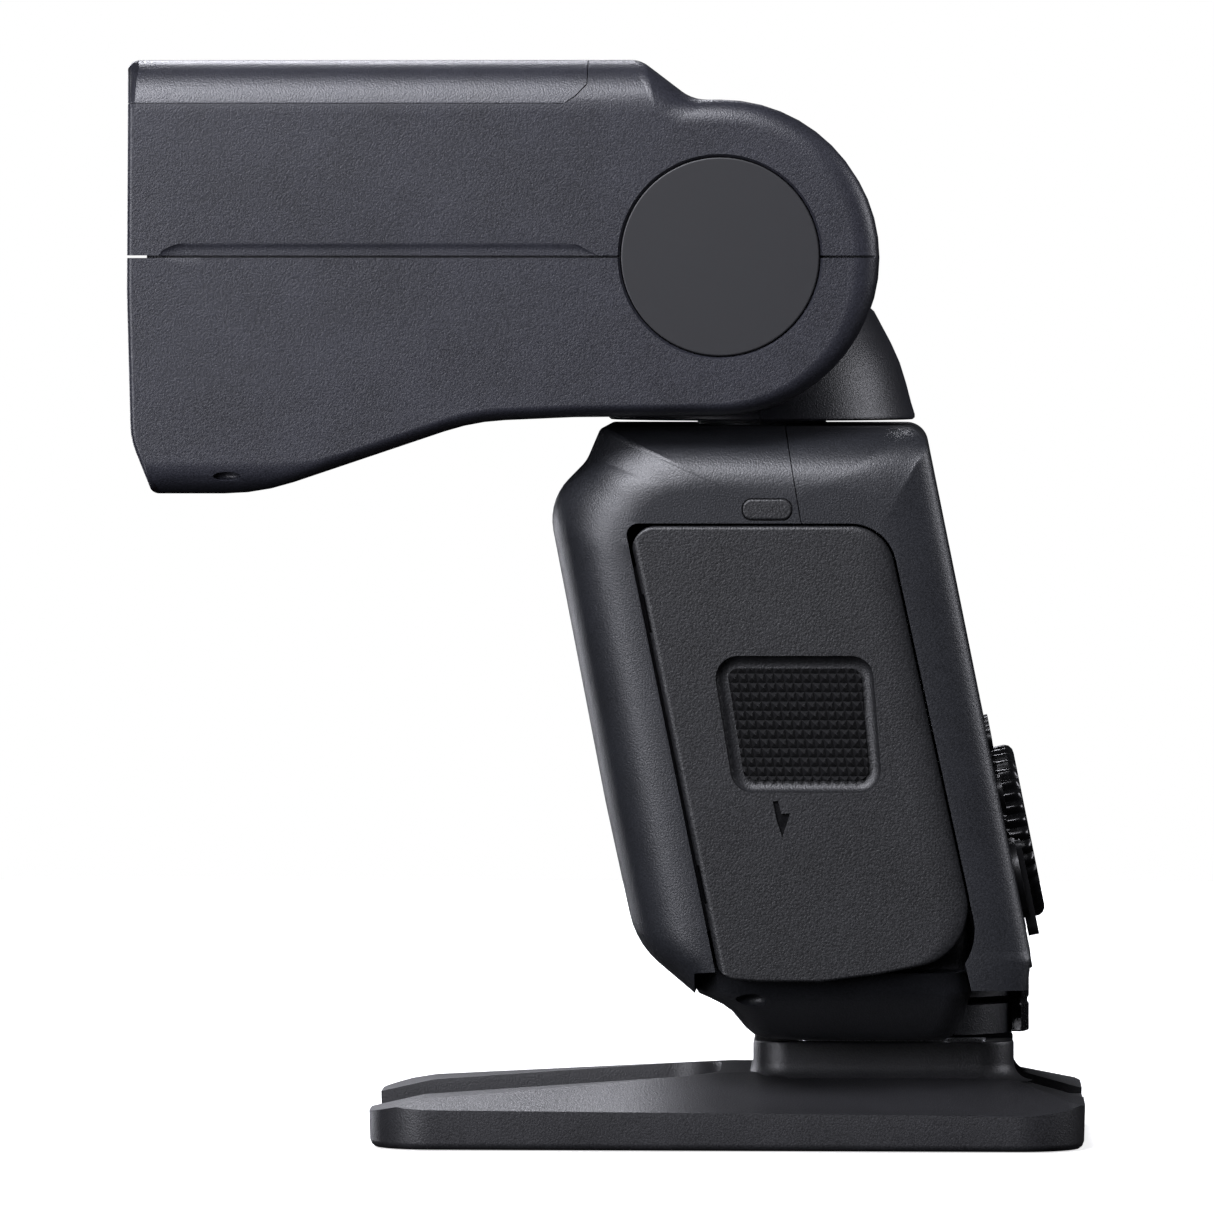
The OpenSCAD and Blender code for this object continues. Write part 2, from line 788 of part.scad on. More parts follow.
module bounce_release_button() color("#1b1b1c") {
  translate([0, tilt_y, tilt_z]) rod(-head_x - 2, -ear_mid - 2, release_r);
}

bezel_front = -101.1;

module front_bezel() color("#18181a") {
  difference() {
    intersection() {
      block([-far, bezel_front, 0], [far, bezel_front + 3, far]);
      lengthwise(-far, far) soft_square([-head_x + 2.1, 93.1], [head_x - 2.1, cover_z - 1.7], 3.9);
    }
    lengthwise(-far, far) soft_square([-33, 96.6], [33, 139], 2);
  }
}

module fresnel_lens() color([0.85, 0.88, 0.9, 0.5]) {
  difference() {
    lengthwise(bezel_front + 0.4, bezel_front + 2.8) soft_square([-33, 96.6], [33, 139], 2);
    for (z = [100:3:136]) translate([0, bezel_front + 3.3, z])
      rotate([45, 0, 0]) block([-31, -0.9, -0.9], [31, 0.9, 0.9]);
  }
}

// ---- zoom mechanism ----

screw_x = 34.4;
screw_z = 118;
lamp_y = -58;
lamp_z = 119;

// Half width of the reflector's trough at a depth d in front of the tube
function trough(d) = 4.6 + 2.8 * sqrt(max(0, d));

module reflector() color("#d5d7da") {
  depth = 21;
  n = 8;
  curve = [for (i = [0:n]) [lamp_y + 4 - depth * i / n, trough(depth * i / n)]];
  back = [for (i = [n:-1:0]) [curve[i][0] + 0.4, curve[i][1] + 0.9]];
  for (s = [0, 1]) translate([0, 0, lamp_z]) mirror([0, 0, s]) across(-30, 30)
    polygon(concat(curve, back));
  translate([0, 0, lamp_z]) across(-30, 30)
    polygon([[lamp_y + 4, -5.6], [lamp_y + 5, -5.6], [lamp_y + 5, 5.6], [lamp_y + 4, 5.6]]);
}

module flash_tube() color([0.9, 0.92, 0.95, 0.6]) {
  translate([0, lamp_y, lamp_z]) rod(-29, 29, 2.2);
}

module zoom_carriage() color("#3a3a3e") {
  difference() {
    union() {
      for (x = [-32, 30.1]) block([x, lamp_y - 16, seam_z - 17], [x + 1.9, lamp_y + 7, seam_z + 7]);
      block([-32, lamp_y + 5.1, seam_z - 17], [32, lamp_y + 7, seam_z + 7]);
      block([-36.2, lamp_y - 4, screw_z - 3], [-32, lamp_y + 4, screw_z + 3]);
    }
    translate([-screw_x, 0, screw_z]) rotate([90, 0, 0]) cylinder(h = far, r = 1.25, center = true);
  }
}

module zoom_leadscrew() color("#b9bbbe") {
  translate([-screw_x, -53, screw_z]) rotate([90, 0, 0]) cylinder(h = 43, r = 1.2);
}

module zoom_motor() color("#4a4c50") {
  difference() {
    translate([-screw_x + 0.4, -47.6, screw_z]) rotate([90, 0, 0]) cylinder(h = 3.2, r = 2.0);
    translate([-screw_x, -20, screw_z]) rotate([90, 0, 0]) cylinder(h = far, r = 0.6);
  }
  translate([-24, -49.2, screw_z + 12]) rotate([90, 0, 0]) cylinder(h = 1, r = 5);
}

module wide_panel() color([0.85, 0.88, 0.9, 0.5]) {
  block([-slot_x, head_front + 0.6, panel_z - 0.8], [slot_x, -56, panel_z + 0.7]);
}

module bounce_card() color("#e8e8e4") {
  block([-slot_x, head_front + 0.6, card_z - 0.4], [slot_x, -56, card_z + 0.5]);
}

stand_base();
stand_feet();
tripod_bush();
shoe_spring_plate();
hot_shoe_foot();
foot_contacts();
lock_block();
lock_lever();
lock_pin();
base_cover();
base_screws();
front_shell();
rear_shell();
af_assist_window();
side_plug();
battery_cage();
battery_cells();
battery_springs();
flash_capacitor();
main_board();
lcd_module();
lcd_window();
control_panel();
select_dial();
set_button();
function_button(0);  // function_button_1
function_button(1);  // function_button_2
function_button(2);  // function_button_3
function_button(3);  // function_button_4
mode_button();
option_button();
test_button();
power_lever();
terminal_cover();
sync_socket();
door_slide_rail();
door_hinge_pin();
battery_door();
door_contact_plate();
door_grip_pad();
swivel_tube();
neck_front_shell();
neck_rear_shell();
tilt_axle();
tilt_detent_plate();
head_lower_case();
head_upper_case();
head_top_cover();
tilt_cap_right();
tilt_cap_left();
bounce_release_button();
front_bezel();
fresnel_lens();
zoom_carriage();
reflector();
flash_tube();
zoom_leadscrew();
zoom_motor();
wide_panel();
bounce_card();
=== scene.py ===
"""Looks of a speedlight flash on its shoe stand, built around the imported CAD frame.

Lengths are in millimetres in the CAD's own axes and become metres when a mesh is made.
The leaning frame of the flash body has p pointing out of its rear face and s up along it.
"""
import json
import math

import bmesh
import bpy
from mathutils import Matrix, Vector

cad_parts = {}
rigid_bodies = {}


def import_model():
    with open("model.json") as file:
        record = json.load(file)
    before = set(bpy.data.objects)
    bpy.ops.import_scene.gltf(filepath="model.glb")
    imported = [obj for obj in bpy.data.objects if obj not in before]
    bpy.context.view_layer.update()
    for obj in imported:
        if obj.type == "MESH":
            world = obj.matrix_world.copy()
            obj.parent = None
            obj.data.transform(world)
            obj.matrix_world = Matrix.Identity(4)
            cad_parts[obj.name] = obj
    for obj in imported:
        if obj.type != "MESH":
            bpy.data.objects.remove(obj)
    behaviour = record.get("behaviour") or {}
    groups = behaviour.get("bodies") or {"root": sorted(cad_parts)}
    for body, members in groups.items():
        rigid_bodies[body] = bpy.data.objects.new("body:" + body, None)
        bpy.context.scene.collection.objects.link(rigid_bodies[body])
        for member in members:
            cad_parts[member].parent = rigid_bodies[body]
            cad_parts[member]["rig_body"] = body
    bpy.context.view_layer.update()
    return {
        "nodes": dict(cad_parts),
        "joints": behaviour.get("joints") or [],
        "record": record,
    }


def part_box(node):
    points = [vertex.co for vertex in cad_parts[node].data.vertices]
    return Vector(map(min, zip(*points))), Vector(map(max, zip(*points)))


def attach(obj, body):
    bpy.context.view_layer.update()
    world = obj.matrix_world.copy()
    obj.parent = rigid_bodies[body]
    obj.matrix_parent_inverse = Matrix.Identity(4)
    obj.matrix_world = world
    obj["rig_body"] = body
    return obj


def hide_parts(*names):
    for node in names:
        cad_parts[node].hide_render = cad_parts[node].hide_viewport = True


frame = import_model()
scene = bpy.context.scene
nodes = frame["nodes"]
joints = {joint["name"]: joint for joint in frame["joints"]}
slot_of = {part["node"]: part["material_slot"] for part in frame["record"]["subparts"]}
MM = 0.001


def low(node, axis):
    """Lowest coordinate of a CAD node along x, y or z, in millimetres"""
    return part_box(node)[0]["xyz".index(axis)] / MM


def high(node, axis):
    """Highest coordinate of a CAD node along x, y or z, in millimetres"""
    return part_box(node)[1]["xyz".index(axis)] / MM


def middle(node, axis):
    """Middle of a CAD node's box along x, y or z, in millimetres"""
    return (low(node, axis) + high(node, axis)) / 2


def pivot(joint):
    """A point of a joint's axis at rest, in millimetres"""
    return [value / MM for value in joints[joint]["pos_m"]]


# ---- sizes read from the frame ----

tilt_y, tilt_z = pivot("tilt")[1:]
swivel_y = pivot("swivel")[1]
head_x = high("head_upper_case", "x")
head_top = high("head_top_cover", "z")
head_front = low("head_upper_case", "y")
cover_z = low("head_top_cover", "z")
ear_rear = high("head_lower_case", "y")
ear_r = ear_rear - tilt_y
cap_r = high("tilt_cap_right", "z") - tilt_z
cap_face = high("tilt_cap_right", "x")
neck_x = high("neck_front_shell", "x")
neck_z = low("neck_front_shell", "z")
swivel_r = high("neck_rear_shell", "y") - swivel_y
body_x = high("front_shell", "x")
body_top = high("front_shell", "z")
base_z = low("base_cover", "z")
door_face = high("battery_door", "x")
door_back = low("battery_door", "x")
stand_x = high("stand_base", "x")
stand_front = low("stand_base", "y")
stand_rear = high("stand_base", "y")
stand_z = low("stand_base", "z")
pedestal_z = high("stand_base", "z")
up = joints["door_slide"]["axis"]
LEAN = math.atan2(up[1], -up[2])
LEAN_Y, LEAN_Z = -14.2, 61.0      # origin of the leaning frame
DIAL_S = -24.5                    # axis of the select dial along the body
SIDE, FAR = 60, 200               # reach of cutting tools past the sides and past the whole model

# ---- camera, light and floor ----


def aim(obj, target):
    """Turns a light or the camera to look at a point"""
    obj.rotation_euler = (Vector(target) - obj.location).to_track_quat("-Z", "Y").to_euler()


def add_camera():
    """Long lens at the battery door's side, a little above the middle of the flash"""
    data = bpy.data.cameras.new("camera")
    data.sensor_width = 36
    data.lens = 360
    data.clip_end = 20
    camera = bpy.data.objects.new("camera", data)
    scene.collection.objects.link(camera)
    camera.location = (1.70, 0.0035, 0.122)
    aim(camera, (0.03, -0.0383, 0.0748))
    scene.camera = camera


def add_softbox(name, place, target, width, height, power):
    """Rectangular light of slightly cool white; places and sizes in metres, power in watts"""
    data = bpy.data.lights.new(name, "AREA")
    data.shape = "RECTANGLE"
    data.size = width
    data.size_y = height
    data.energy = power
    data.color = (0.955, 0.96, 1.04)
    light = bpy.data.objects.new(name, data)
    scene.collection.objects.link(light)
    light.location = place
    aim(light, target)


def add_lights():
    """Key, strip, fill and rear fill on each side, the first three weaker on the far side"""
    centre = (0, -0.03, 0.08)
    for side, share in ((1, 1.0), (-1, 0.5)):
        add_softbox("key", (side * 0.62, -0.30, 0.70), centre, 0.5, 0.24, 13.0 * share)
        add_softbox("strip", (side * 0.72, -0.64, 0.18), centre, 0.2, 0.6, 5.5 * share)
        add_softbox("fill", (side * 0.56, -0.30, 0.25), centre, 0.2, 0.24, 0.8 * share)
        add_softbox("rear_fill", (side * 0.10, 0.95, 0.40), centre, 0.3, 0.4, 2.2)


def add_world():
    """White to the camera, and a dim sky over a darker ground to everything else"""
    world = bpy.data.worlds.new("studio")
    scene.world = world
    world.use_nodes = True
    tree = world.node_tree
    tree.nodes.clear()
    link = tree.links.new
    output = tree.nodes.new("ShaderNodeOutputWorld")
    pick = tree.nodes.new("ShaderNodeMixShader")
    rays = tree.nodes.new("ShaderNodeLightPath")
    white = tree.nodes.new("ShaderNodeBackground")
    white.inputs["Color"].default_value = (1, 1, 1, 1)
    white.inputs["Strength"].default_value = 1.0
    room = tree.nodes.new("ShaderNodeBackground")
    room.inputs["Strength"].default_value = 0.06
    where = tree.nodes.new("ShaderNodeTexCoord")
    split = tree.nodes.new("ShaderNodeSeparateXYZ")
    ramp = tree.nodes.new("ShaderNodeValToRGB")
    ramp.color_ramp.elements[0].position = 0.0
    ramp.color_ramp.elements[0].color = (0.12, 0.12, 0.13, 1)
    ramp.color_ramp.elements[1].position = 0.6
    ramp.color_ramp.elements[1].color = (0.9, 0.92, 1.0, 1)
    link(where.outputs["Generated"], split.inputs[0])
    link(split.outputs["Z"], ramp.inputs["Fac"])
    link(ramp.outputs["Color"], room.inputs["Color"])
    link(rays.outputs["Is Camera Ray"], pick.inputs["Fac"])
    link(room.outputs[0], pick.inputs[1])
    link(white.outputs[0], pick.inputs[2])
    link(pick.outputs[0], output.inputs["Surface"])


def add_floor(material):
    """Pale floor just under the stand, seen by the camera but not mirrored in the flash"""
    half, drop = 0.7, 0.0002
    corners = [(-half, -half, 0), (half, -half, 0), (half, half, 0), (-half, half, 0)]
    mesh = bpy.data.meshes.new("floor")
    mesh.from_pydata(corners, [], [(0, 1, 2, 3)])
    mesh.materials.append(material)
    floor = bpy.data.objects.new("floor", mesh)
    scene.collection.objects.link(floor)
    floor.location.z = -drop
    floor.visible_diffuse = False
    floor.visible_glossy = False


# ---- materials ----


def new_material(name, colour, roughness, **values):
    """A Principled material whose constant values sit on the shader's own sockets"""
    material = bpy.data.materials.new(name)
    material.use_nodes = True
    shader = material.node_tree.nodes["Principled BSDF"]
    shader.inputs["Base Color"].default_value = (*colour, 1)
    shader.inputs["Roughness"].default_value = roughness
    for key, value in values.items():
        shader.inputs[key.replace("_", " ")].default_value = value
    return material


def noise(tree, size, detail, stretch=(1, 1, 1)):
    """Noise whose features are about size millimetres across, longer along a stretched axis"""
    where = tree.nodes.new("ShaderNodeTexCoord")
    scale = tree.nodes.new("ShaderNodeMapping")
    scale.inputs["Scale"].default_value = [1 / factor for factor in stretch]
    texture = tree.nodes.new("ShaderNodeTexNoise")
    texture.inputs["Scale"].default_value = 1 / (size * MM)
    texture.inputs["Detail"].default_value = detail
    tree.links.new(where.outputs["Object"], scale.inputs["Vector"])
    tree.links.new(scale.outputs["Vector"], texture.inputs["Vector"])
    return texture.outputs["Fac"]


def spread(tree, value, lowest, highest):
    """Maps a noise value from the middle of its range to lowest..highest"""
    node = tree.nodes.new("ShaderNodeMapRange")
    node.inputs["From Min"].default_value = 0.3
    node.inputs["From Max"].default_value = 0.7
    node.inputs["To Min"].default_value = lowest
    node.inputs["To Max"].default_value = highest
    tree.links.new(value, node.inputs["Value"])
    return node.outputs["Result"]


def textured(name, colour, roughness, grain, relief, mottle=0.08, stretch=(1, 1, 1), **values):
    """A surface with fine relief, uneven gloss and slightly uneven colour; grain is in millimetres"""
    patch_size, grain_share, patch_share = 9, 0.7, 0.3
    gloss_range, relief_depth = 0.05, 0.24
    material = new_material(name, colour, roughness, **values)
    tree = material.node_tree
    shader = tree.nodes["Principled BSDF"]
    fine = noise(tree, grain, 3, stretch)
    patches = noise(tree, patch_size, 2)
    tint = tree.nodes.new("ShaderNodeMix")
    tint.data_type = "RGBA"
    tint.inputs["A"].default_value = (*[c * (1 - mottle) for c in colour], 1)
    tint.inputs["B"].default_value = (*[c * (1 + mottle) for c in colour], 1)
    both = tree.nodes.new("ShaderNodeMath")
    both.operation = "ADD"
    tree.links.new(spread(tree, fine, 0, grain_share), both.inputs[0])
    tree.links.new(spread(tree, patches, 0, patch_share), both.inputs[1])
    tree.links.new(both.outputs[0], tint.inputs["Factor"])
    tree.links.new(tint.outputs["Result"], shader.inputs["Base Color"])
    gloss = spread(tree, fine, roughness - gloss_range, roughness + gloss_range)
    tree.links.new(gloss, shader.inputs["Roughness"])
    bump = tree.nodes.new("ShaderNodeBump")
    bump.inputs["Strength"].default_value = relief
    bump.inputs["Distance"].default_value = grain * relief_depth * MM
    tree.links.new(fine, bump.inputs["Height"])
    tree.links.new(bump.outputs["Normal"], shader.inputs["Normal"])
    return material


def make_materials():
    """Each row: colour, roughness, grain, relief, then mottle, stretch and sockets where they differ"""
    return {
        "stand_plastic": textured("stand_plastic", (0.014, 0.014, 0.0155), 0.46, 0.26, 0.85, 0.5),
        "head_plastic": textured("head_plastic", (0.0145, 0.015, 0.020), 0.4, 0.24, 0.95, 0.5),
        "body_plastic": textured("body_plastic", (0.0115, 0.0122, 0.0145), 0.4, 0.24, 0.85, 0.5),
        "cap_plastic": textured("cap_plastic", (0.008, 0.0082, 0.0095), 0.5, 0.12, 0.12, 0.04),
        "door_plastic": textured("door_plastic", (0.008, 0.0082, 0.0092), 0.46, 0.3, 1.0, 0.6),
        "panel_plastic": textured("panel_plastic", (0.011, 0.011, 0.012), 0.42, 0.2, 0.25),
        "key_plastic": textured("key_plastic", (0.009, 0.009, 0.010), 0.4, 0.25, 0.2),
        "gloss_black": textured("gloss_black", (0.004, 0.004, 0.0045), 0.24, 0.5, 0.05),
        "rubber_black": textured("rubber_black", (0.005, 0.005, 0.0055), 0.42, 0.18, 0.35),
        "steel": textured("steel", (0.55, 0.56, 0.58), 0.3, 0.15, 0.15, 0.05, (8, 1, 1), Metallic=1.0),
        "blackened_steel": textured("blackened_steel", (0.03, 0.03, 0.033), 0.4, 0.15, 0.15, 0.05,
                                    Metallic=1.0),
        "brass": textured("brass", (0.72, 0.52, 0.24), 0.28, 0.15, 0.12, 0.05, (1, 8, 1), Metallic=1.0),
        "inner_plastic": textured("inner_plastic", (0.05, 0.05, 0.056), 0.5, 0.3, 0.3),
        "cell_sleeve": textured("cell_sleeve", (0.32, 0.33, 0.36), 0.25, 0.6, 0.08, Coat_Weight=0.4),
        "capacitor_sleeve": textured("capacitor_sleeve", (0.02, 0.026, 0.045), 0.3, 0.5, 0.12,
                                     Coat_Weight=0.3),
        "board": textured("board", (0.012, 0.075, 0.042), 0.35, 0.4, 0.3, 0.2),
        "display": textured("display", (0.36, 0.42, 0.36), 0.25, 0.2, 0.04, 0.05),
        "display_glass": textured("display_glass", (0.45, 0.47, 0.46), 0.08, 2.0, 0.01, 0.02,
                                  Transmission_Weight=0.95, IOR=1.5),
        "red_window": textured("red_window", (0.11, 0.004, 0.008), 0.1, 1.0, 0.03, 0.1, Coat_Weight=0.6),
        "clear_lens": textured("clear_lens", (0.9, 0.93, 0.95), 0.12, 0.8, 0.25, 0.02, (20, 1, 1),
                               Transmission_Weight=1.0, IOR=1.49),
        "reflector_silver": textured("reflector_silver", (0.86, 0.87, 0.89), 0.14, 1.2, 0.12, 0.02,
                                     Metallic=1.0),
        "card_white": textured("card_white", (0.78, 0.78, 0.76), 0.5, 0.5, 0.1, 0.02),
        "floor": textured("floor", (0.86, 0.86, 0.86), 0.6, 3.0, 0.02, 0.01,
                          Emission_Color=(1, 1, 1, 1), Emission_Strength=0.72),
    }


# ---- outlines ----


def corner_arc(before, here, after, radius, steps):
    """Arc of the given radius in the corner here, as steps + 1 points"""
    p, q, s = (Vector(corner[:2]) for corner in (before, here, after))
    u, v = (p - q).normalized(), (s - q).normalized()
    half = u.angle(v) / 2
    if radius <= 0 or abs(half - math.pi / 2) < 1e-4:
        return [q.copy() for _ in range(steps + 1)]
    centre = q + (u + v).normalized() * radius / math.sin(half)
    start = q + u * radius / math.tan(half) - centre
    turn = math.copysign(math.pi - 2 * half, (q - p).cross(s - q))
    points = []
    for i in range(steps + 1):
        a = turn * i / steps
        points.append(centre + Vector((start.x * math.cos(a) - start.y * math.sin(a),
                                       start.x * math.sin(a) + start.y * math.cos(a))))
    return points


def neighbours(corners):
    """Each corner of a closed outline with the one before it and the one after it"""
    return zip(corners[-1:] + corners[:-1], corners, corners[1:] + corners[:1])


def arc_steps(before, here, after):
    """How many straight steps the arc in a corner gets, about one for 8 degrees"""
    if here[2] <= 0:
        return 0
    turn = math.pi - (Vector(before[:2]) - Vector(here[:2])).angle(Vector(after[:2]) - Vector(here[:2]))
    return max(2, math.ceil(math.degrees(turn) / 8))


def rounded(corners):
    """Outline of [u, v, radius] corners"""
    points = []
    for before, here, after in neighbours(corners):
        steps = arc_steps(before, here, after)
        points += corner_arc(before, here, after, here[2], steps) if steps else [Vector(here[:2])]
    return points


def inset(corners, width):
    """The corners of an anticlockwise outline moved inwards by width"""
    moved = []
    for before, here, after in neighbours(corners):
        p, q, s = (Vector(corner[:2]) for corner in (before, here, after))
        u, v = (p - q).normalized(), (s - q).normalized()
        way = math.copysign(1, (q - p).cross(s - q))
        at = q + (u + v).normalized() * way * width / math.sin(u.angle(v) / 2)
        radius = max(0.05, here[2] - way * width) if here[2] > 0 else 0
        moved.append([at.x, at.y, radius, *here[3:]])
    return moved


def circle(y, z, r, count=96):
    return [(y + r * math.cos(2 * math.pi * i / count), z + r * math.sin(2 * math.pi * i / count))
            for i in range(count)]


def pill(u0, v0, u1, v1, r):
    """Rectangle with round corners"""
    return rounded([[u0, v0, r], [u1, v0, r], [u1, v1, r], [u0, v1, r]])


# ---- meshes ----


def leaning(x, p, s):
    """A point of the leaning frame in the CAD's axes"""
    c, k = math.cos(LEAN), math.sin(LEAN)
    return (x, LEAN_Y + p * c - s * k, LEAN_Z + p * k + s * c)


def height_p(y, z):
    """How far a point lies along p in the leaning frame"""
    return (y - LEAN_Y) * math.cos(LEAN) + (z - LEAN_Z) * math.sin(LEAN)


AXES = {
    "x": lambda u, v, t: (t, u, v),
    "y": lambda u, v, t: (u, t, v),
    "z": lambda u, v, t: (u, v, t),
    "p": lambda u, v, t: leaning(u, t, v),
    "s": lambda u, v, t: leaning(u, v, t),
}


def make_object(name, points, faces):
    """Mesh object with equal points merged and its faces turned outwards"""
    mesh = bpy.data.meshes.new(name)
    mesh.from_pydata([Vector(point) for point in points], [], faces)
    work = bmesh.new()
    work.from_mesh(mesh)
    bmesh.ops.remove_doubles(work, verts=work.verts, dist=1e-4)
    bmesh.ops.recalc_face_normals(work, faces=work.faces)
    work.to_mesh(mesh)
    work.free()
    obj = bpy.data.objects.new(name, mesh)
    scene.collection.objects.link(obj)
    return obj


def loft(name, rings, closed=False):
    """Skin over rings of equal length, capped at both ends unless it closes on itself"""
    n = len(rings[0])
    points = [point for ring in rings for point in ring]
    last = len(rings) if closed else len(rings) - 1
    faces = []
    for r in range(last):
        a, b = r * n, (r + 1) % len(rings) * n
        faces += [(a + i, a + (i + 1) % n, b + (i + 1) % n, b + i) for i in range(n)]
    if not closed:
        faces += [tuple(range(n)), tuple(range((len(rings) - 1) * n, len(rings) * n))]
    return make_object(name, points, faces)


def prism(outline, start, end, axis="x", name="tool"):
    """Straight prism over an outline, from start to end along an axis"""
    to = AXES[axis]
    return loft(name, [[to(u, v, t) for u, v in outline] for t in (start, end)])


def stacked(name, layers, axis):
    """Loft of (outline, height) layers along an axis"""
    to = AXES[axis]
    return loft(name, [[to(u, v, t) for u, v in outline] for outline, t in layers])


def box(x0, x1, y0, y1, z0, z1):
    return prism([(y0, z0), (y1, z0), (y1, z1), (y0, z1)], x0, x1)


def lathe(name, profile, axis, centre, closed=False, count=96):
    """Turns (radius, height) points about an axis through centre"""
    to = AXES[axis]
    return loft(name, [[to(u, v, h) for u, v in circle(*centre, r, count)] for r, h in profile], closed)


def ellipsoid(centre, radii, rings=12, count=24):
    """Ellipsoid with small flat ends across X, used to cut"""
    layers = []
    for i in range(1, rings):
        a = math.pi * i / rings
        layers.append([(centre[0] - radii[0] * math.cos(a),
                        centre[1] + radii[1] * math.sin(a) * math.cos(2 * math.pi * j / count),
                        centre[2] + radii[2] * math.sin(a) * math.sin(2 * math.pi * j / count))
                       for j in range(count)])
    return loft("tool", layers)


def rimmed(name, outer, inner, depths, face, back=None, steps=7):
    """Slab along X whose outline shrinks from outer to inner over a quarter ellipse at its face.

    Outer and inner corners match one to one; each depth belongs to the edge after its corner.
    Without a back the slab is symmetric about X = 0.
    """
    walls, rims, drops = [], [], []
    for (a, b, c), (d, e, f), i in zip(neighbours(outer), neighbours(inner), range(len(outer))):
        count = max(arc_steps(a, b, c), arc_steps(d, e, f), 1)
        walls += corner_arc(a, b, c, b[2], count)
        rims += corner_arc(d, e, f, e[2], count)
        drops += [depths[i - 1] + (depths[i] - depths[i - 1]) * k / count for k in range(count + 1)]
    rings = []
    for k in range(steps + 1):
        a = math.pi / 2 * k / steps
        rings.append([(face - drop * (1 - math.sin(a)), *wall.lerp(rim, 1 - math.cos(a)))
                      for wall, rim, drop in zip(walls, rims, drops)])
    if back is None:
        rings = [[(-x, y, z) for x, y, z in ring] for ring in reversed(rings)] + rings
    else:
        rings = [[(back, *wall) for wall in walls]] + rings
    return loft(name, rings)


def insets_of(corners):
    """Inner corners for [y, z, radius, inset] corners; an inset belongs to the edge after its corner"""
    area = sum(a[0] * b[1] - b[0] * a[1] for a, b, _ in neighbours(corners))
    side = math.copysign(1, area)
    inner = []
    for before, here, after in neighbours(corners):
        p, q, s = (Vector(corner[:2]) for corner in (before, here, after))
        d1, d2 = (q - p).normalized(), (s - q).normalized()
        n1, n2 = Vector((-d1.y, d1.x)) * side, Vector((-d2.y, d2.x)) * side
        a, b = q + n1 * before[3], q + n2 * here[3]
        turn = d1.cross(d2)
        at = a + d1 * ((b - a).cross(d2) / turn) if abs(turn) > 0.02 else (a + b) / 2
        way = math.copysign(1, turn * side)
        radius = max(0.2, here[2] - way * (before[3] + here[3]) / 2)
        inner.append([at.x, at.y, min(radius, max(here[2], 6))])
    return inner


def bake(obj):
    """Turns an object's modifiers into its mesh"""
    evaluated = obj.evaluated_get(bpy.context.evaluated_depsgraph_get())
    mesh = bpy.data.meshes.new_from_object(evaluated)
    obj.modifiers.clear()
    obj.data = mesh


def combine(obj, operation, tools):
    """Applies Boolean tools to an object and removes them"""
    for tool in tools:
        modifier = obj.modifiers.new("boolean", "BOOLEAN")
        modifier.operation = operation
        modifier.solver = "EXACT"
        modifier.object = tool
    bake(obj)
    for tool in tools:
        bpy.data.objects.remove(tool)
    return obj


def cut(obj, *tools):
    return combine(obj, "DIFFERENCE", tools)


def keep(obj, tool):
    return combine(obj, "INTERSECT", [tool])


def fuse(obj, *tools):
    return combine(obj, "UNION", tools)


def copy_of(obj, name):
    twin = bpy.data.objects.new(name, obj.data.copy())
    scene.collection.objects.link(twin)
    return twin


def mirrored(make):
    """A tool and its mirror image about X = 0"""
    return [make(1), make(-1)]


def shade(obj, angle):
    """Smooth shading with sharp edges where faces meet at more than an angle"""
    obj.data.shade_smooth()
    obj.data.set_sharp_from_angle(angle=math.radians(angle))
    normals = obj.modifiers.new("normals", "WEIGHTED_NORMAL")
    normals.keep_sharp = True
    normals.weight = 60


def soften(obj, width, angle=30, segments=2):
    """Rounds the sharp edges of a mesh by a width in millimetres"""
    bevel = obj.modifiers.new("soft_edges", "BEVEL")
    bevel.width = width * MM
    bevel.segments = segments
    bevel.limit_method = "ANGLE"
    bevel.angle_limit = math.radians(angle)
    bevel.use_clamp_overlap = True


def ride(obj, node, slot, angle):
    """Brings a new piece to metres and gives it a slot, its material and the body of a CAD node"""
    obj.data.transform(Matrix.Scale(MM, 4))
    obj.data.materials.clear()
    obj.data.materials.append(materials[slot])
    shade(obj, angle)
    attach(obj, nodes[node]["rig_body"])


def dress(obj, node, angle=34):
    """Puts a new piece in the place of the CAD node it stands for"""
    ride(obj, node, slot_of[node], angle)
    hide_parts(node)


# ---- head ----


def head_solid():
    """Both halves of the head as one; an edge's rim is (inset, depth) at the side faces"""
    under = (1.8, 3)
    flat = (4.5, 4)
    front = (0.7, 0.7)
    top = (7.4, 6)
    slope = (4.5, 4.5)
    ear = (3.5, 2.5)
    ear_corner = ear_r - 0.05
    corners = [
        [ear_rear, tilt_z - ear_r, ear_corner, *under],
        [-42.7, 101.0, 30, *under],
        [-56.4, 100.4, 30, *under],
        [-85.8, 90.5, 30, *flat],
        [-100.4, 90.5, 1.2, *front],
        [-103.4, 98, 10, *front],
        [head_front, 118, 40, *front],
        [head_front + 0.2, head_top, 1.4, *top],
        [-33.6, head_top, 4, *slope],
        [-26.4, 144.5, 6, *ear],
        [ear_rear, tilt_z + ear_r, ear_corner, *ear],
    ]
    return rimmed("head", corners, insets_of(corners), [corner[4] for corner in corners], head_x)


def head_cavity():
    """Room for the reflector, open at the front"""
    wall, floor, roof = 2, 93, 147
    side = [(-FAR, floor), (-84, floor), (-62, 102), (-46.5, 104.3), (-46.5, roof), (-FAR, roof)]
    tool = prism(side, wall - head_x, head_x - wall)
    section = pill(wall - head_x, floor, head_x - wall, cover_z - 1.6, 4)
    return keep(tool, prism(section, -FAR, -30, "y"))


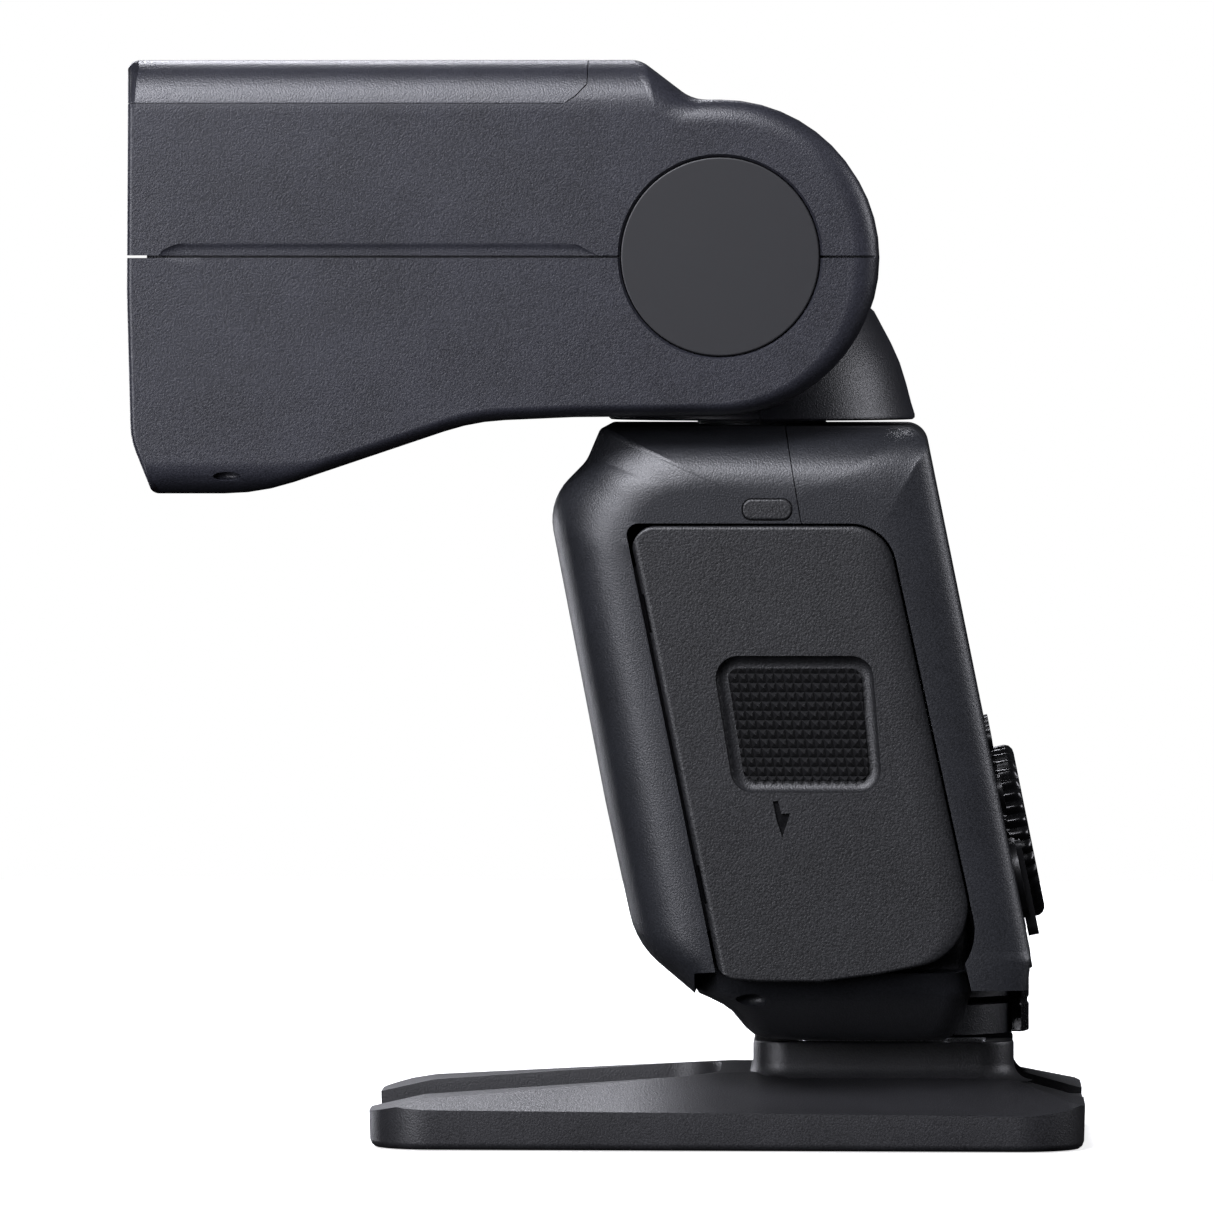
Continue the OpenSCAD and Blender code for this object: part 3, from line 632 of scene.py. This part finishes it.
def cap_recess(s):
    """Round recess of a side cap, on the side that the sign s names, wider at its mouth"""
    bore, mouth = cap_r + 0.12, cap_r + 0.45
    depth, chamfer = 6, 0.35
    profile = [(bore, s * (head_x - depth)), (bore, s * (head_x - chamfer)), (mouth, s * head_x),
               (mouth, s * (head_x + 1))]
    return lathe("tool", profile, "x", (tilt_y, tilt_z))


def side_dimple(s):
    """Small dimple low on a side face"""
    return ellipsoid((s * 38.5, -90.2, 92.9), (1.3, 1.95, 0.65))


def neck_spaces():
    """The hollow between the ears and the relief under the head that clears the body when it tilts"""
    reach = neck_x + 0.4
    skirt_r, relief_x = 29, 31
    skirt = keep(prism(circle(tilt_y, tilt_z, skirt_r), -reach, reach), box(-40, 40, -60, 20, 80, 111.5))
    relief = [(-29, 90), (-44, 90), (-44, 103.2), (-29, 101.2)]
    return [prism(circle(tilt_y, tilt_z, ear_r - 0.3), -reach, reach), skirt,
            box(-reach, reach, -21.5, 18.5, 90, 170), prism(relief, -relief_x, relief_x)]


def seam_groove(s):
    """Shallow groove above the seam with a steep upper edge, pointed at both ends"""
    full, depth = 1.95, 0.34
    heights = ((-99.6, 0.06), (-99.0, 0.8), (-98.2, 1.3), (-97.2, 1.65), (-95.8, full), (-45, full),
               (-42, 1.6), (-39.2, 0.06))
    rings = []
    for y, h in heights:
        top = tilt_z + h
        d = depth * h / full
        profile = [(0, top), (1, top + 0.1), (1, tilt_z - 0.1), (-d, tilt_z - 0.1),
                   (-d, tilt_z + 0.45 * h), (-0.85 * d, tilt_z + 0.78 * h)]
        rings.append([(s * (head_x + x), y, z) for x, z in profile])
    return loft("tool", rings)


def lower_scoop(s):
    """Small scoop below the seam where the groove starts, fading out to the rear"""
    sections = ((-99.6, 0.06, 0.01), (-99.0, 0.5, 0.12), (-97.5, 1.0, 0.2), (-96, 1.3, 0.16),
                (-93.5, 1.5, 0.02))
    rings = []
    for y, h, d in sections:
        profile = [(0, tilt_z - h), (1, tilt_z - h - 0.1), (1, tilt_z + 0.1), (-d, tilt_z + 0.1)]
        rings.append([(s * (head_x + x), y, z) for x, z in profile])
    return loft("tool", rings)


def seam_spaces():
    """The seam between the halves: open at the mouth, and a groove in each side face"""
    half, groove, mouth, rear = 0.17, 1.3, -101.2, 50
    bottom, top = tilt_z - half, tilt_z + half
    return [box(-SIDE, SIDE, -FAR, mouth, bottom, top),
            box(head_x - groove, SIDE, -FAR, rear, bottom, top),
            box(-SIDE, groove - head_x, -FAR, rear, bottom, top)]


def head_cover(solid):
    """The cover over the top of the head, hollowed for the wide panel and the bounce card"""
    line = [(-FAR, cover_z), (-44, cover_z), (-42.5, 145), (-40.9, 146.7), (-39.2, FAR), (-FAR, FAR)]
    cover = keep(copy_of(solid, "head_cover_shell"), prism(line, -SIDE, SIDE))
    return cut(cover, box(-30.5, 30.5, -FAR, -44.5, cover_z - 1, 148.6))


def cover_space():
    """What the upper half leaves free for the cover, a hair more than the cover fills"""
    edge = cover_z - 0.06
    line = [(-FAR, edge), (-44, edge), (-42.4, 144.9), (-40.8, 146.6), (-39.1, FAR), (-FAR, FAR)]
    return prism(line, -SIDE, SIDE)


def make_head():
    """The upper half, the lower half and the cover, all cut from one solid"""
    rear, bottom, axle_r, axle_end = 50, 50, 6.05, head_x - 6
    solid = head_solid()
    tools = [head_cavity(), *neck_spaces(), *mirrored(cap_recess)]
    tools.append(prism(circle(tilt_y, tilt_z, axle_r), -axle_end, axle_end))
    cut(solid, *tools, *mirrored(side_dimple))
    cover = head_cover(solid)
    cut(solid, *seam_spaces())
    lower = keep(copy_of(solid, "head_lower_shell"), box(-SIDE, SIDE, -FAR, rear, bottom, tilt_z))
    cut(lower, *mirrored(lower_scoop))
    upper = cut(solid, box(-SIDE, SIDE, -FAR, rear, bottom, tilt_z), cover_space(), *mirrored(seam_groove))
    upper.name = "head_upper_shell"
    dress(upper, "head_upper_case")
    dress(lower, "head_lower_case")
    dress(cover, "head_top_cover")


def make_caps():
    """A plain cap over the near end of the tilt axle, and one with a bore for the button"""
    bevel, bore_r = 0.25, 7.12
    inner = head_x - 4
    disc = [(cap_r - 0.1, inner), (cap_r, inner + 0.1), (cap_r, cap_face - bevel),
            (cap_r - 0.08, cap_face - 0.08), (cap_r - bevel, cap_face)]
    cap = lathe("pivot_cap_right", disc, "x", (tilt_y, tilt_z))
    dress(cap, "tilt_cap_right")
    cap = lathe("pivot_cap_left", [(r, -x) for r, x in disc], "x", (tilt_y, tilt_z))
    cut(cap, prism(circle(tilt_y, tilt_z, bore_r), -SIDE, 0))
    dress(cap, "tilt_cap_left")


def make_release_button():
    """Button with a shallow dish in its face"""
    inner = head_x - 4
    out = -low("bounce_release_button", "x")
    profile = [(6.9, inner), (7, inner + 0.1), (7, out - 0.6), (6.8, out - 0.2), (6.3, out), (5, out - 0.05),
               (3, out - 0.35), (1, out - 0.5)]
    button = lathe("release_button", [(r, -x) for r, x in profile], "x", (tilt_y, tilt_z))
    dress(button, "bounce_release_button")


# ---- neck ----


def make_neck():
    """Round skirt with a disc between the ears, split into a front and a rear shell"""
    bevel, wall, gap = 0.6, 3, 0.05
    axle_r, tube_r, wire_r = 6, 9.02, 6
    skirt = [(swivel_r - 0.3, neck_z), (swivel_r, neck_z + 0.25), (swivel_r, neck_z + 0.7), (20.9, 102.6),
             (20.2, 105.3), (19.3, 108.2), (18.1, 110.9), (15.7, 115.4), (12, 118.6)]
    solid = lathe("neck", skirt, "z", (0, swivel_y))
    disc_r = ear_r - 0.9
    disc = [(disc_r - bevel, -neck_x), (disc_r, bevel - neck_x), (disc_r, neck_x - bevel),
            (disc_r - bevel, neck_x)]
    fuse(solid, lathe("tool", disc, "x", (tilt_y, tilt_z)))
    cut(solid, prism(circle(tilt_y, tilt_z, axle_r), -SIDE, SIDE),
        prism(circle(0, swivel_y, tube_r), 90, 105.6, "z"),
        prism(circle(0, swivel_y, wire_r), 90, 114, "z"),
        prism(circle(tilt_y, tilt_z, disc_r - wall), wall - neck_x, neck_x - wall))
    front = keep(copy_of(solid, "neck_front"), box(-SIDE, SIDE, -FAR, swivel_y - gap, 0, FAR))
    rear = keep(solid, box(-SIDE, SIDE, swivel_y + gap, FAR, 0, FAR))
    rear.name = "neck_rear"
    dress(front, "neck_front_shell")
    dress(rear, "neck_rear_shell")


# ---- body ----

# Outlines in side view, as [y, z, radius] corners. The body has one for its middle and one for its
# side faces, and a depth of the rim between the two for each edge.
BODY_OUTER = [[-23.3, 19, 0.5], [19.2, 19, 0.5], [20.1, 27, 6], [5.4, body_top, 3.2],
              [-39.2, body_top, 1.2], [-41.2, 94.9, 5], [-46.6, 89.4, 8], [-38.6, 47.8, 60],
              [-34.4, 28.4, 12]]
BODY_INNER = [[-18.5, 20, 0.5], [11.5, 20, 0.5], [12.0, 27, 4], [-2.0, 91.3, 8],
              [-22.0, 91.3, 6], [-31.5, 90.6, 8], [-35.6, 84.0, 8], [-28.4, 47.8, 50],
              [-24.6, 28.2, 8]]
BODY_DEPTH = [1, 2.5, 3.5, 10, 10, 10, 10, 10, 8]
DOOR_SIDE = [[-22.75, 23.9, 3.4], [-9, 22.9, 60], [12.9, 27.3, 8], [0.1, 86.1, 6], [-35.4, 86.1, 3.2]]
TERMINAL = [[3.5, 42, 2.4], [13.5, 42, 2.4], [9, 64, 2.4], [-1, 64, 2.4]]
PLUG = [[-19.6, 86.9, 1.3], [-12.8, 86.9, 1.3], [-12.8, 89.8, 1.3], [-19.6, 89.8, 1.3]]

# Lines in side view, as (y, z) points: where the two shells meet, and what they leave to the base cover
SEAM_LINE = [(-13.8, 110), (-13.8, 99.8), (-11.6, 86.8), (10.4, 28.2), (11.8, 22.3), (11.8, 5)]
BASE_ZONE = [(-26.2, -5), (-26.2, 24.6), (-22.3, 24.9), (-17.6, 23.6), (-9, 23.1), (-2, 24.2),
             (5, 25.8), (10.4, 28.2), (11.8, 22.3), (30, 22.3), (30, -5)]


def body_solid(wall):
    """The body's outer shape, or the same shape drawn in by a wall"""
    outer = inset(BODY_OUTER, wall) if wall else BODY_OUTER
    inner = inset(BODY_INNER, wall * 0.5) if wall else BODY_INNER
    return rimmed("body", outer, inner, [max(0.5, depth - wall) for depth in BODY_DEPTH], body_x - wall)


def door_hole():
    """The door's opening, with a tighter top front corner that lets the door swing"""
    gap, swing_corner = 0.35, 1.6
    hole = inset(DOOR_SIDE, -gap)
    hole[4][2] = swing_corner
    return hole


def slid(outline, travel):
    """The outline moved down along the body"""
    return [(y + travel * math.sin(LEAN), z - travel * math.cos(LEAN)) for y, z in outline]


def panel_spaces():
    """Rooms and recesses of the display and the controls in the rear, and the window in the front"""
    rear_p = 25.3
    room, recess = rear_p - 4, rear_p - 0.8
    return [prism(pill(-26, -5, 26, 20.5, 1), room, SIDE, "p"),
            prism(pill(-30, -40, 30, -8, 1), room, SIDE, "p"),
            prism(pill(-31, -6.4, 31, 22.4, 2.2), recess, SIDE, "p"),
            prism(pill(-31.5, -42, 31.5, -6.6, 1.5), recess, SIDE, "p"),
            prism(pill(-20, -24, 20, -2, 2.5), -SIDE, -22, "p")]


def make_shells():
    """The hollow body, split into a front and a rear shell"""
    wall, door_room, door_travel, tube_r, gap = 2, 4, 3.1, 9.3, 0.07
    solid = body_solid(0)
    hole = rounded(door_hole())
    cut(solid, body_solid(wall), prism(BASE_ZONE, -SIDE, SIDE),
        prism(hole, body_x - door_room, SIDE),
        prism(slid(hole, door_travel), body_x - door_room, SIDE),
        prism(circle(0, swivel_y, tube_r), 90, 110, "z"),
        *panel_spaces(),
        prism(rounded(inset(TERMINAL, -0.12)), -SIDE, 2 - body_x),
        prism(rounded(inset(PLUG, -0.1)), body_x - 0.8, SIDE))
    front_part = [(-80, 5), (-80, 110)] + [(y - gap, z) for y, z in SEAM_LINE]
    rear_part = [(60, 5), (60, 110)] + [(y + gap, z) for y, z in SEAM_LINE]
    front = keep(copy_of(solid, "body_front_shell"), prism(front_part, -SIDE, SIDE))
    rear = keep(solid, prism(rear_part, -SIDE, SIDE))
    rear.name = "body_rear_shell"
    dress(front, "front_shell")
    dress(rear, "rear_shell")


def make_plug():
    """Pill-shaped plug that stands a little proud of the side"""
    plug = rimmed("side_plug_cover", PLUG, inset(PLUG, 0.35), [0.3] * 4, body_x + 0.12, body_x - 0.8, 4)
    dress(plug, "side_plug")


def flap_groove(z, face):
    """One of the grooves that give a fingernail hold on the terminal flap"""
    y = 1.5 - 0.2 * (z - 45)
    return prism(pill(y + 2.2, z, y + 8.2, z + 0.5, 0.2), -SIDE, 0.35 - face)


def make_terminal_flap():
    """Flap over the sockets on the far side, built on the near side and mirrored"""
    face = -low("terminal_cover", "x")
    flap = rimmed("terminal_flap", TERMINAL, inset(TERMINAL, 0.6), [0.5] * 4, face, body_x - 1, 4)
    for vertex in flap.data.vertices:
        vertex.co.x = -vertex.co.x
    flap.data.flip_normals()
    cut(flap, *[flap_groove(z, face) for z in (59, 60.5, 62)])
    dress(flap, "terminal_cover")


def base_section(front, rear, half):
    """Level section of the base cover"""
    return rounded([[-half, front, 7], [half, front, 7], [half, rear, 3.5], [-half, rear, 3.5]])


def base_scoop(s):
    """Small scoop in a side of the base cover, near its front"""
    return ellipsoid((s * 30.3, -18.4, 20.7), (1.5, 2.2, 1.25))


def lock_spaces():
    """Rooms for the lock block, for the swing of its lever and for the top plate of the foot"""
    lock_y = pivot("lock_lever_turn")[1]
    return [box(-13.1, 13.1, 9.5, 20, base_z - 1, 22.1),
            prism(circle(0, lock_y, 14.4), base_z + 4.2, 22.9, "z"),
            box(-14.1, 14.1, -12.1, 9.5, base_z - 1, base_z + 1.3)]


def pin_hole():
    """Hole that the lock pin runs in"""
    run = 0.2
    pin_r = (high("lock_pin", "x") - low("lock_pin", "x")) / 2
    return prism(circle(middle("lock_pin", "x"), middle("lock_pin", "y"), pin_r + run), base_z - 2, 40, "z")


def make_base_cover():
    """Cover that widens up to the body and reaches a little way into it; sections from the bottom up"""
    sections = [
        (base_z, -16.6, 8.4, 23.4),
        (base_z + 0.5, -18.2, 9.3, 24.6),
        (16.2, -19.3, 9.9, 26.0),
        (17.5, -20.3, 10.6, 27.6),
        (18.7, -21.2, 11.0, 28.9),
        (19.7, -22.5, 11.3, 29.9),
        (20.6, -24.2, 11.5, 30.7),
        (21.3, -25.7, 11.7, 31.2),
        (21.9, -26.1, 11.8, 31.6),
        (24.5, -26.1, 11.2, 32.7),
        (25.0, -25.2, 13.0, 31.2),
        (33, -25.2, 13.5, 31.2),
    ]
    layers = [(base_section(front, rear, half), z) for z, front, rear, half in sections]
    cover = stacked("base_housing", layers, "z")
    cut(cover, *lock_spaces(), *mirrored(base_scoop))
    cut(cover, pin_hole())
    dress(cover, "base_cover")


def make_red_window():
    """Window in the front, with a bevelled edge"""
    corners = [[-19.9, -23.9, 2.4], [19.9, -23.9, 2.4], [19.9, -2.1, 2.4], [-19.9, -2.1, 2.4]]
    front, back = -26.5, -24.2
    layers = [(corners, back), (corners, front + 0.6), (inset(corners, 0.2), front + 0.2),
              (inset(corners, 0.6), front)]
    window = stacked("assist_window", [(rounded(outline), p) for outline, p in layers], "p")
    dress(window, "af_assist_window")


# ---- battery door ----

GRIP = [[-20.7, 49.6, 3], [-0.4, 49.6, 3], [-1.9, 68.2, 3], [-23.7, 68.2, 3]]
GRIP_FLOOR = door_face - 1.1
ARROW = [(-15.4, 48.3), (-14.7, 48.4), (-14.2, 46.6), (-13.0, 46.7), (-14.1, 43.3), (-14.9, 45.8)]


def grip_dish():
    """Recess of the grip pad, whose wall is a quarter ellipse"""
    steps, spread_out = 6, 1.6
    height = door_face + 0.1 - GRIP_FLOOR
    layers = []
    for k in range(steps + 1):
        a = math.pi / 2 * k / steps
        outline = rounded(inset(GRIP, spread_out * (1 - math.sin(a)) - 0.1))
        layers.append((outline, GRIP_FLOOR - 0.05 + height * (1 - math.cos(a))))
    layers.append((layers[-1][0], door_face + 1))
    return stacked("tool", layers, "x")


def lug_space(s, hinge_p):
    """Room in the door for one of the lugs that carry its hinge pin"""
    inner, outer = body_x - 6, body_x - 0.2
    front, rear = hinge_p - 4, hinge_p + 2.7
    section = [(inner, front), (outer, front), (outer, rear), (inner, rear)]
    return prism(section, s - 0.2, s + 5.2, "s")


def make_door():
    """Door with a round hinge edge, the dish of its grip and an engraved arrow"""
    engraving, pin_r, steps = 0.4, 0.7, 16
    hinge_x, hinge_y, hinge_z = pivot("door_swing")
    hinge_p = height_p(hinge_y, hinge_z)
    outer = [[*corner, width] for corner, width in zip(DOOR_SIDE, (0.4, 0.4, 4.5, 0.6, 0.05))]
    depths = [0.4, 0.4, 0.8, 0.5, 0.05]
    door = rimmed("door_panel", outer, insets_of(outer), depths, door_face, door_back, 6)
    half = (door_face - door_back) / 2
    section = []
    for i in range(steps + 1):
        a = math.pi * i / steps
        section.append((hinge_x + half * math.cos(a), hinge_p - half * math.sin(a)))
    section += [(door_back, 40), (door_face, 40)]
    keep(door, prism(section, -SIDE, SIDE, "s"))
    lugs = [lug_space(s, hinge_p) for s in (-24, 14)]
    cut(door, grip_dish(), prism(ARROW, door_face - engraving, SIDE), *lugs)
    cut(door, prism(circle(hinge_x, hinge_p, pin_r), -SIDE, SIDE, "s"))
    dress(door, "battery_door")
    paint = prism(ARROW, door_face - 0.7, door_face - engraving + 0.04, name="opening_arrow")
    ride(paint, "battery_door", "gloss_black", 34)


def make_grip_pad():
    """Rubber pad of small pyramids whose columns follow the lean of the body"""
    wide, tall, height = 1.24, 1.28, 0.75
    y0, z0, shift0 = -25.5, 50.5, 3.4
    columns, rows = 19, 13
    foot_x, under_x = GRIP_FLOOR + 0.12, GRIP_FLOOR - 0.3
    points, faces = [], []
    for row in range(rows + 1):
        shift = -math.tan(LEAN) * row * tall + shift0
        points += [(foot_x, y0 + column * wide + shift, z0 + row * tall) for column in range(columns + 1)]
    tops = len(points)
    for row in range(rows):
        shift = -math.tan(LEAN) * (row + 0.5) * tall + shift0
        points += [(foot_x + height, y0 + (column + 0.5) * wide + shift, z0 + (row + 0.5) * tall)
                   for column in range(columns)]
    for row in range(rows):
        for column in range(columns):
            a = row * (columns + 1) + column
            ring = [a, a + 1, a + columns + 2, a + columns + 1]
            peak = tops + row * columns + column
            faces += [(ring[i], ring[(i + 1) % 4], peak) for i in range(4)]
    last = rows * (columns + 1)
    loop = [*range(columns), *range(columns, last + columns, columns + 1),
            *range(last + columns, last, -1), *range(last, 0, -columns - 1)]
    start = len(points)
    points += [(under_x, *points[index][1:]) for index in loop]
    n = len(loop)
    faces += [(loop[(i + 1) % n], loop[i], start + i, start + (i + 1) % n) for i in range(n)]
    faces.append(tuple(range(start, start + n)))
    pad = make_object("grip_pad", points, faces)
    keep(pad, prism(rounded(inset(GRIP, 1.65)), GRIP_FLOOR - 0.1, SIDE))
    dress(pad, "door_grip_pad", angle=20)


# ---- controls ----


def ribbed(reduce, bite):
    """Outline of the dial drawn in by reduce, with notches between its ribs as deep as bite"""
    ribs, radius = 38, 12.2
    count = ribs * 6
    points = []
    for i in range(count):
        a = 2 * math.pi * i / count
        wave = 0.5 + 0.5 * math.cos(ribs * a)
        r = radius - reduce - bite * (1 - wave) ** 1.5
        points.append((r * math.cos(a), DIAL_S + r * math.sin(a)))
    return points


def make_dial():
    """Ring with ribs around its edge and a dish for the set button; rows of draw, notch and height"""
    rows = ((0.5, 0, 26.05), (0.3, 0, 26.5), (0.05, 0, 26.9), (0, 0.45, 27.3), (0, 0.6, 28.9),
            (0.25, 0.55, 29.5), (0.8, 0.3, 29.9), (1.4, 0.1, 30), (2.6, 0, 29.9), (3.1, 0, 29.3),
            (3.3, 0, 27.2), (6, 0, 27.1))
    dial = stacked("select_dial_ring", [(ribbed(reduce, bite), p) for reduce, bite, p in rows], "p")
    dress(dial, "select_dial")


def make_display():
    """Clear window over the display"""
    corners = [[-30.9, -6.3, 2], [30.9, -6.3, 2], [30.9, 22.3, 2], [-30.9, 22.3, 2]]
    layers = [(corners, 24.7), (corners, 25.7), (inset(corners, 0.25), 25.9)]
    window = stacked("display_window", [(rounded(outline), p) for outline, p in layers], "p")
    dress(window, "lcd_window")


# ---- stand ----


def stand_plate():
    """Plate whose top slopes down to its sides and along to its two ends"""
    side = stand_x
    plan = [[3 - side, stand_front, 9], [side - 3, stand_front, 9], [side, stand_rear, 9],
            [-side, stand_rear, 9]]
    layers = [(0.7, stand_z), (0.25, stand_z + 0.35), (0, stand_z + 1), (-0.3, 12)]
    plate = stacked("stand_shell", [(rounded(inset(plan, width)), z) for width, z in layers], "z")
    across = [[-side - 2, -1, 0], [side + 2, -1, 0], [side + 2, 4.0, 0], [side - 0.7, 5.1, 1.2],
              [13, 9.6, 4], [-13, 9.6, 4], [0.7 - side, 5.1, 1.2], [-side - 2, 4.0, 0]]
    keep(plate, prism(rounded(across), -FAR, FAR, "y"))
    along = [[-90, -1, 0], [60, -1, 0], [60, 2, 0], [27.4, 6.0, 1.5], [18, 8.6, 8], [6, 9.7, 12],
             [-20, 9.7, 20], [-64, 6.6, 6], [-71.6, 4.9, 1.5], [-90, -0.5, 0]]
    return keep(plate, prism(rounded(along), -SIDE, SIDE))


def stand_pedestal():
    """Block that holds the shoe, with a quarter round at its foot and a soft upper edge"""
    foot = [[-15, -18.4, 5], [15, -18.4, 5], [15, 17.9, 5], [-15, 17.9, 5]]
    fillet, bottom, steps = 2.6, 8.4, 7
    layers = []
    for k in range(steps + 1):
        a = math.pi / 2 * k / steps
        outline = rounded(inset(foot, -fillet * (1 - math.sin(a))))
        layers.append((outline, bottom + fillet * (1 - math.cos(a))))
    layers += [(rounded(foot), pedestal_z - 0.5), (rounded(inset(foot, 0.15)), pedestal_z - 0.15),
               (rounded(inset(foot, 0.5)), pedestal_z)]
    return stacked("tool", layers, "z")


def wing_gap():
    """The gap between the two wings, wider at the top"""
    notch = [[-15, -90, 0], [15, -90, 0], [15, -23.5, 7], [-15, -23.5, 7]]
    wide = inset(notch, -0.9)
    return stacked("tool", [(rounded(notch), -1), (rounded(notch), 5), (rounded(wide), 14)], "z")


def foot_spaces():
    """Seats of the rubber feet under the four corners"""
    side = stand_x
    return [prism(circle(x, y, 4), -1, 1.2, "z")
            for x in (9 - side, side - 9) for y in (stand_front + 8, stand_rear - 8)]


def make_stand():
    """Two sloping wings with a gap between them, rising to the pedestal that holds the shoe"""
    foot_half, neck_half, mouth = 9.4, 6.3, 60
    solid = stand_plate()
    fuse(solid, stand_pedestal())
    cut(solid, wing_gap(), box(-foot_half, foot_half, -10, mouth, 6.9, 9.4),
        box(-neck_half, neck_half, -10, mouth, 6.9, 30), box(-foot_half, foot_half, 18, mouth, 5.2, 30),
        prism(circle(0, 0, 4.8), -1, 6.4, "z"), prism(circle(0, -6.6, 1.15), 4.8, 8, "z"), *foot_spaces())
    dress(solid, "stand_base")


# ---- CAD nodes that keep their shape ----

OWN_MATERIAL = {"lcd_module": "display", "door_hinge_pin": "blackened_steel",
                "door_slide_rail": "blackened_steel"}
SOFTENED = {"lock_lever": 0.25, "lock_block": 0.25, "control_panel": 0.25, "power_lever": 0.3,
            "set_button": 0.3, "front_bezel": 0.3, "mode_button": 0.35, "option_button": 0.35,
            "test_button": 0.35, "wide_panel": 0.15, "bounce_card": 0.1, "hot_shoe_foot": 0.2,
            "battery_cells": 0.4, "flash_capacitor": 0.5, "battery_cage": 0.3, "tilt_axle": 0.2,
            "swivel_tube": 0.2, **{f"function_button_{i}": 0.35 for i in range(1, 5)}}


def dress_cad_nodes():
    """Every CAD node that still shows gets its material, and moulded ones get soft edges"""
    for name, node in nodes.items():
        if node.hide_render:
            continue
        node.data.materials.clear()
        node.data.materials.append(materials[OWN_MATERIAL.get(name, slot_of[name])])
        if name in SOFTENED:
            weld = node.modifiers.new("weld", "WELD")
            weld.merge_threshold = 1e-6
            soften(node, SOFTENED[name])
            normals = node.modifiers.new("normals", "WEIGHTED_NORMAL")
            normals.keep_sharp = True


# ---- assembly ----

scene.view_settings.view_transform = "Standard"
materials = make_materials()
add_camera()
add_world()
add_lights()
add_floor(materials["floor"])
make_head()
make_caps()
make_release_button()
make_neck()
make_shells()
make_plug()
make_terminal_flap()
make_base_cover()
make_red_window()
make_door()
make_grip_pad()
make_dial()
make_display()
make_stand()
dress_cad_nodes()
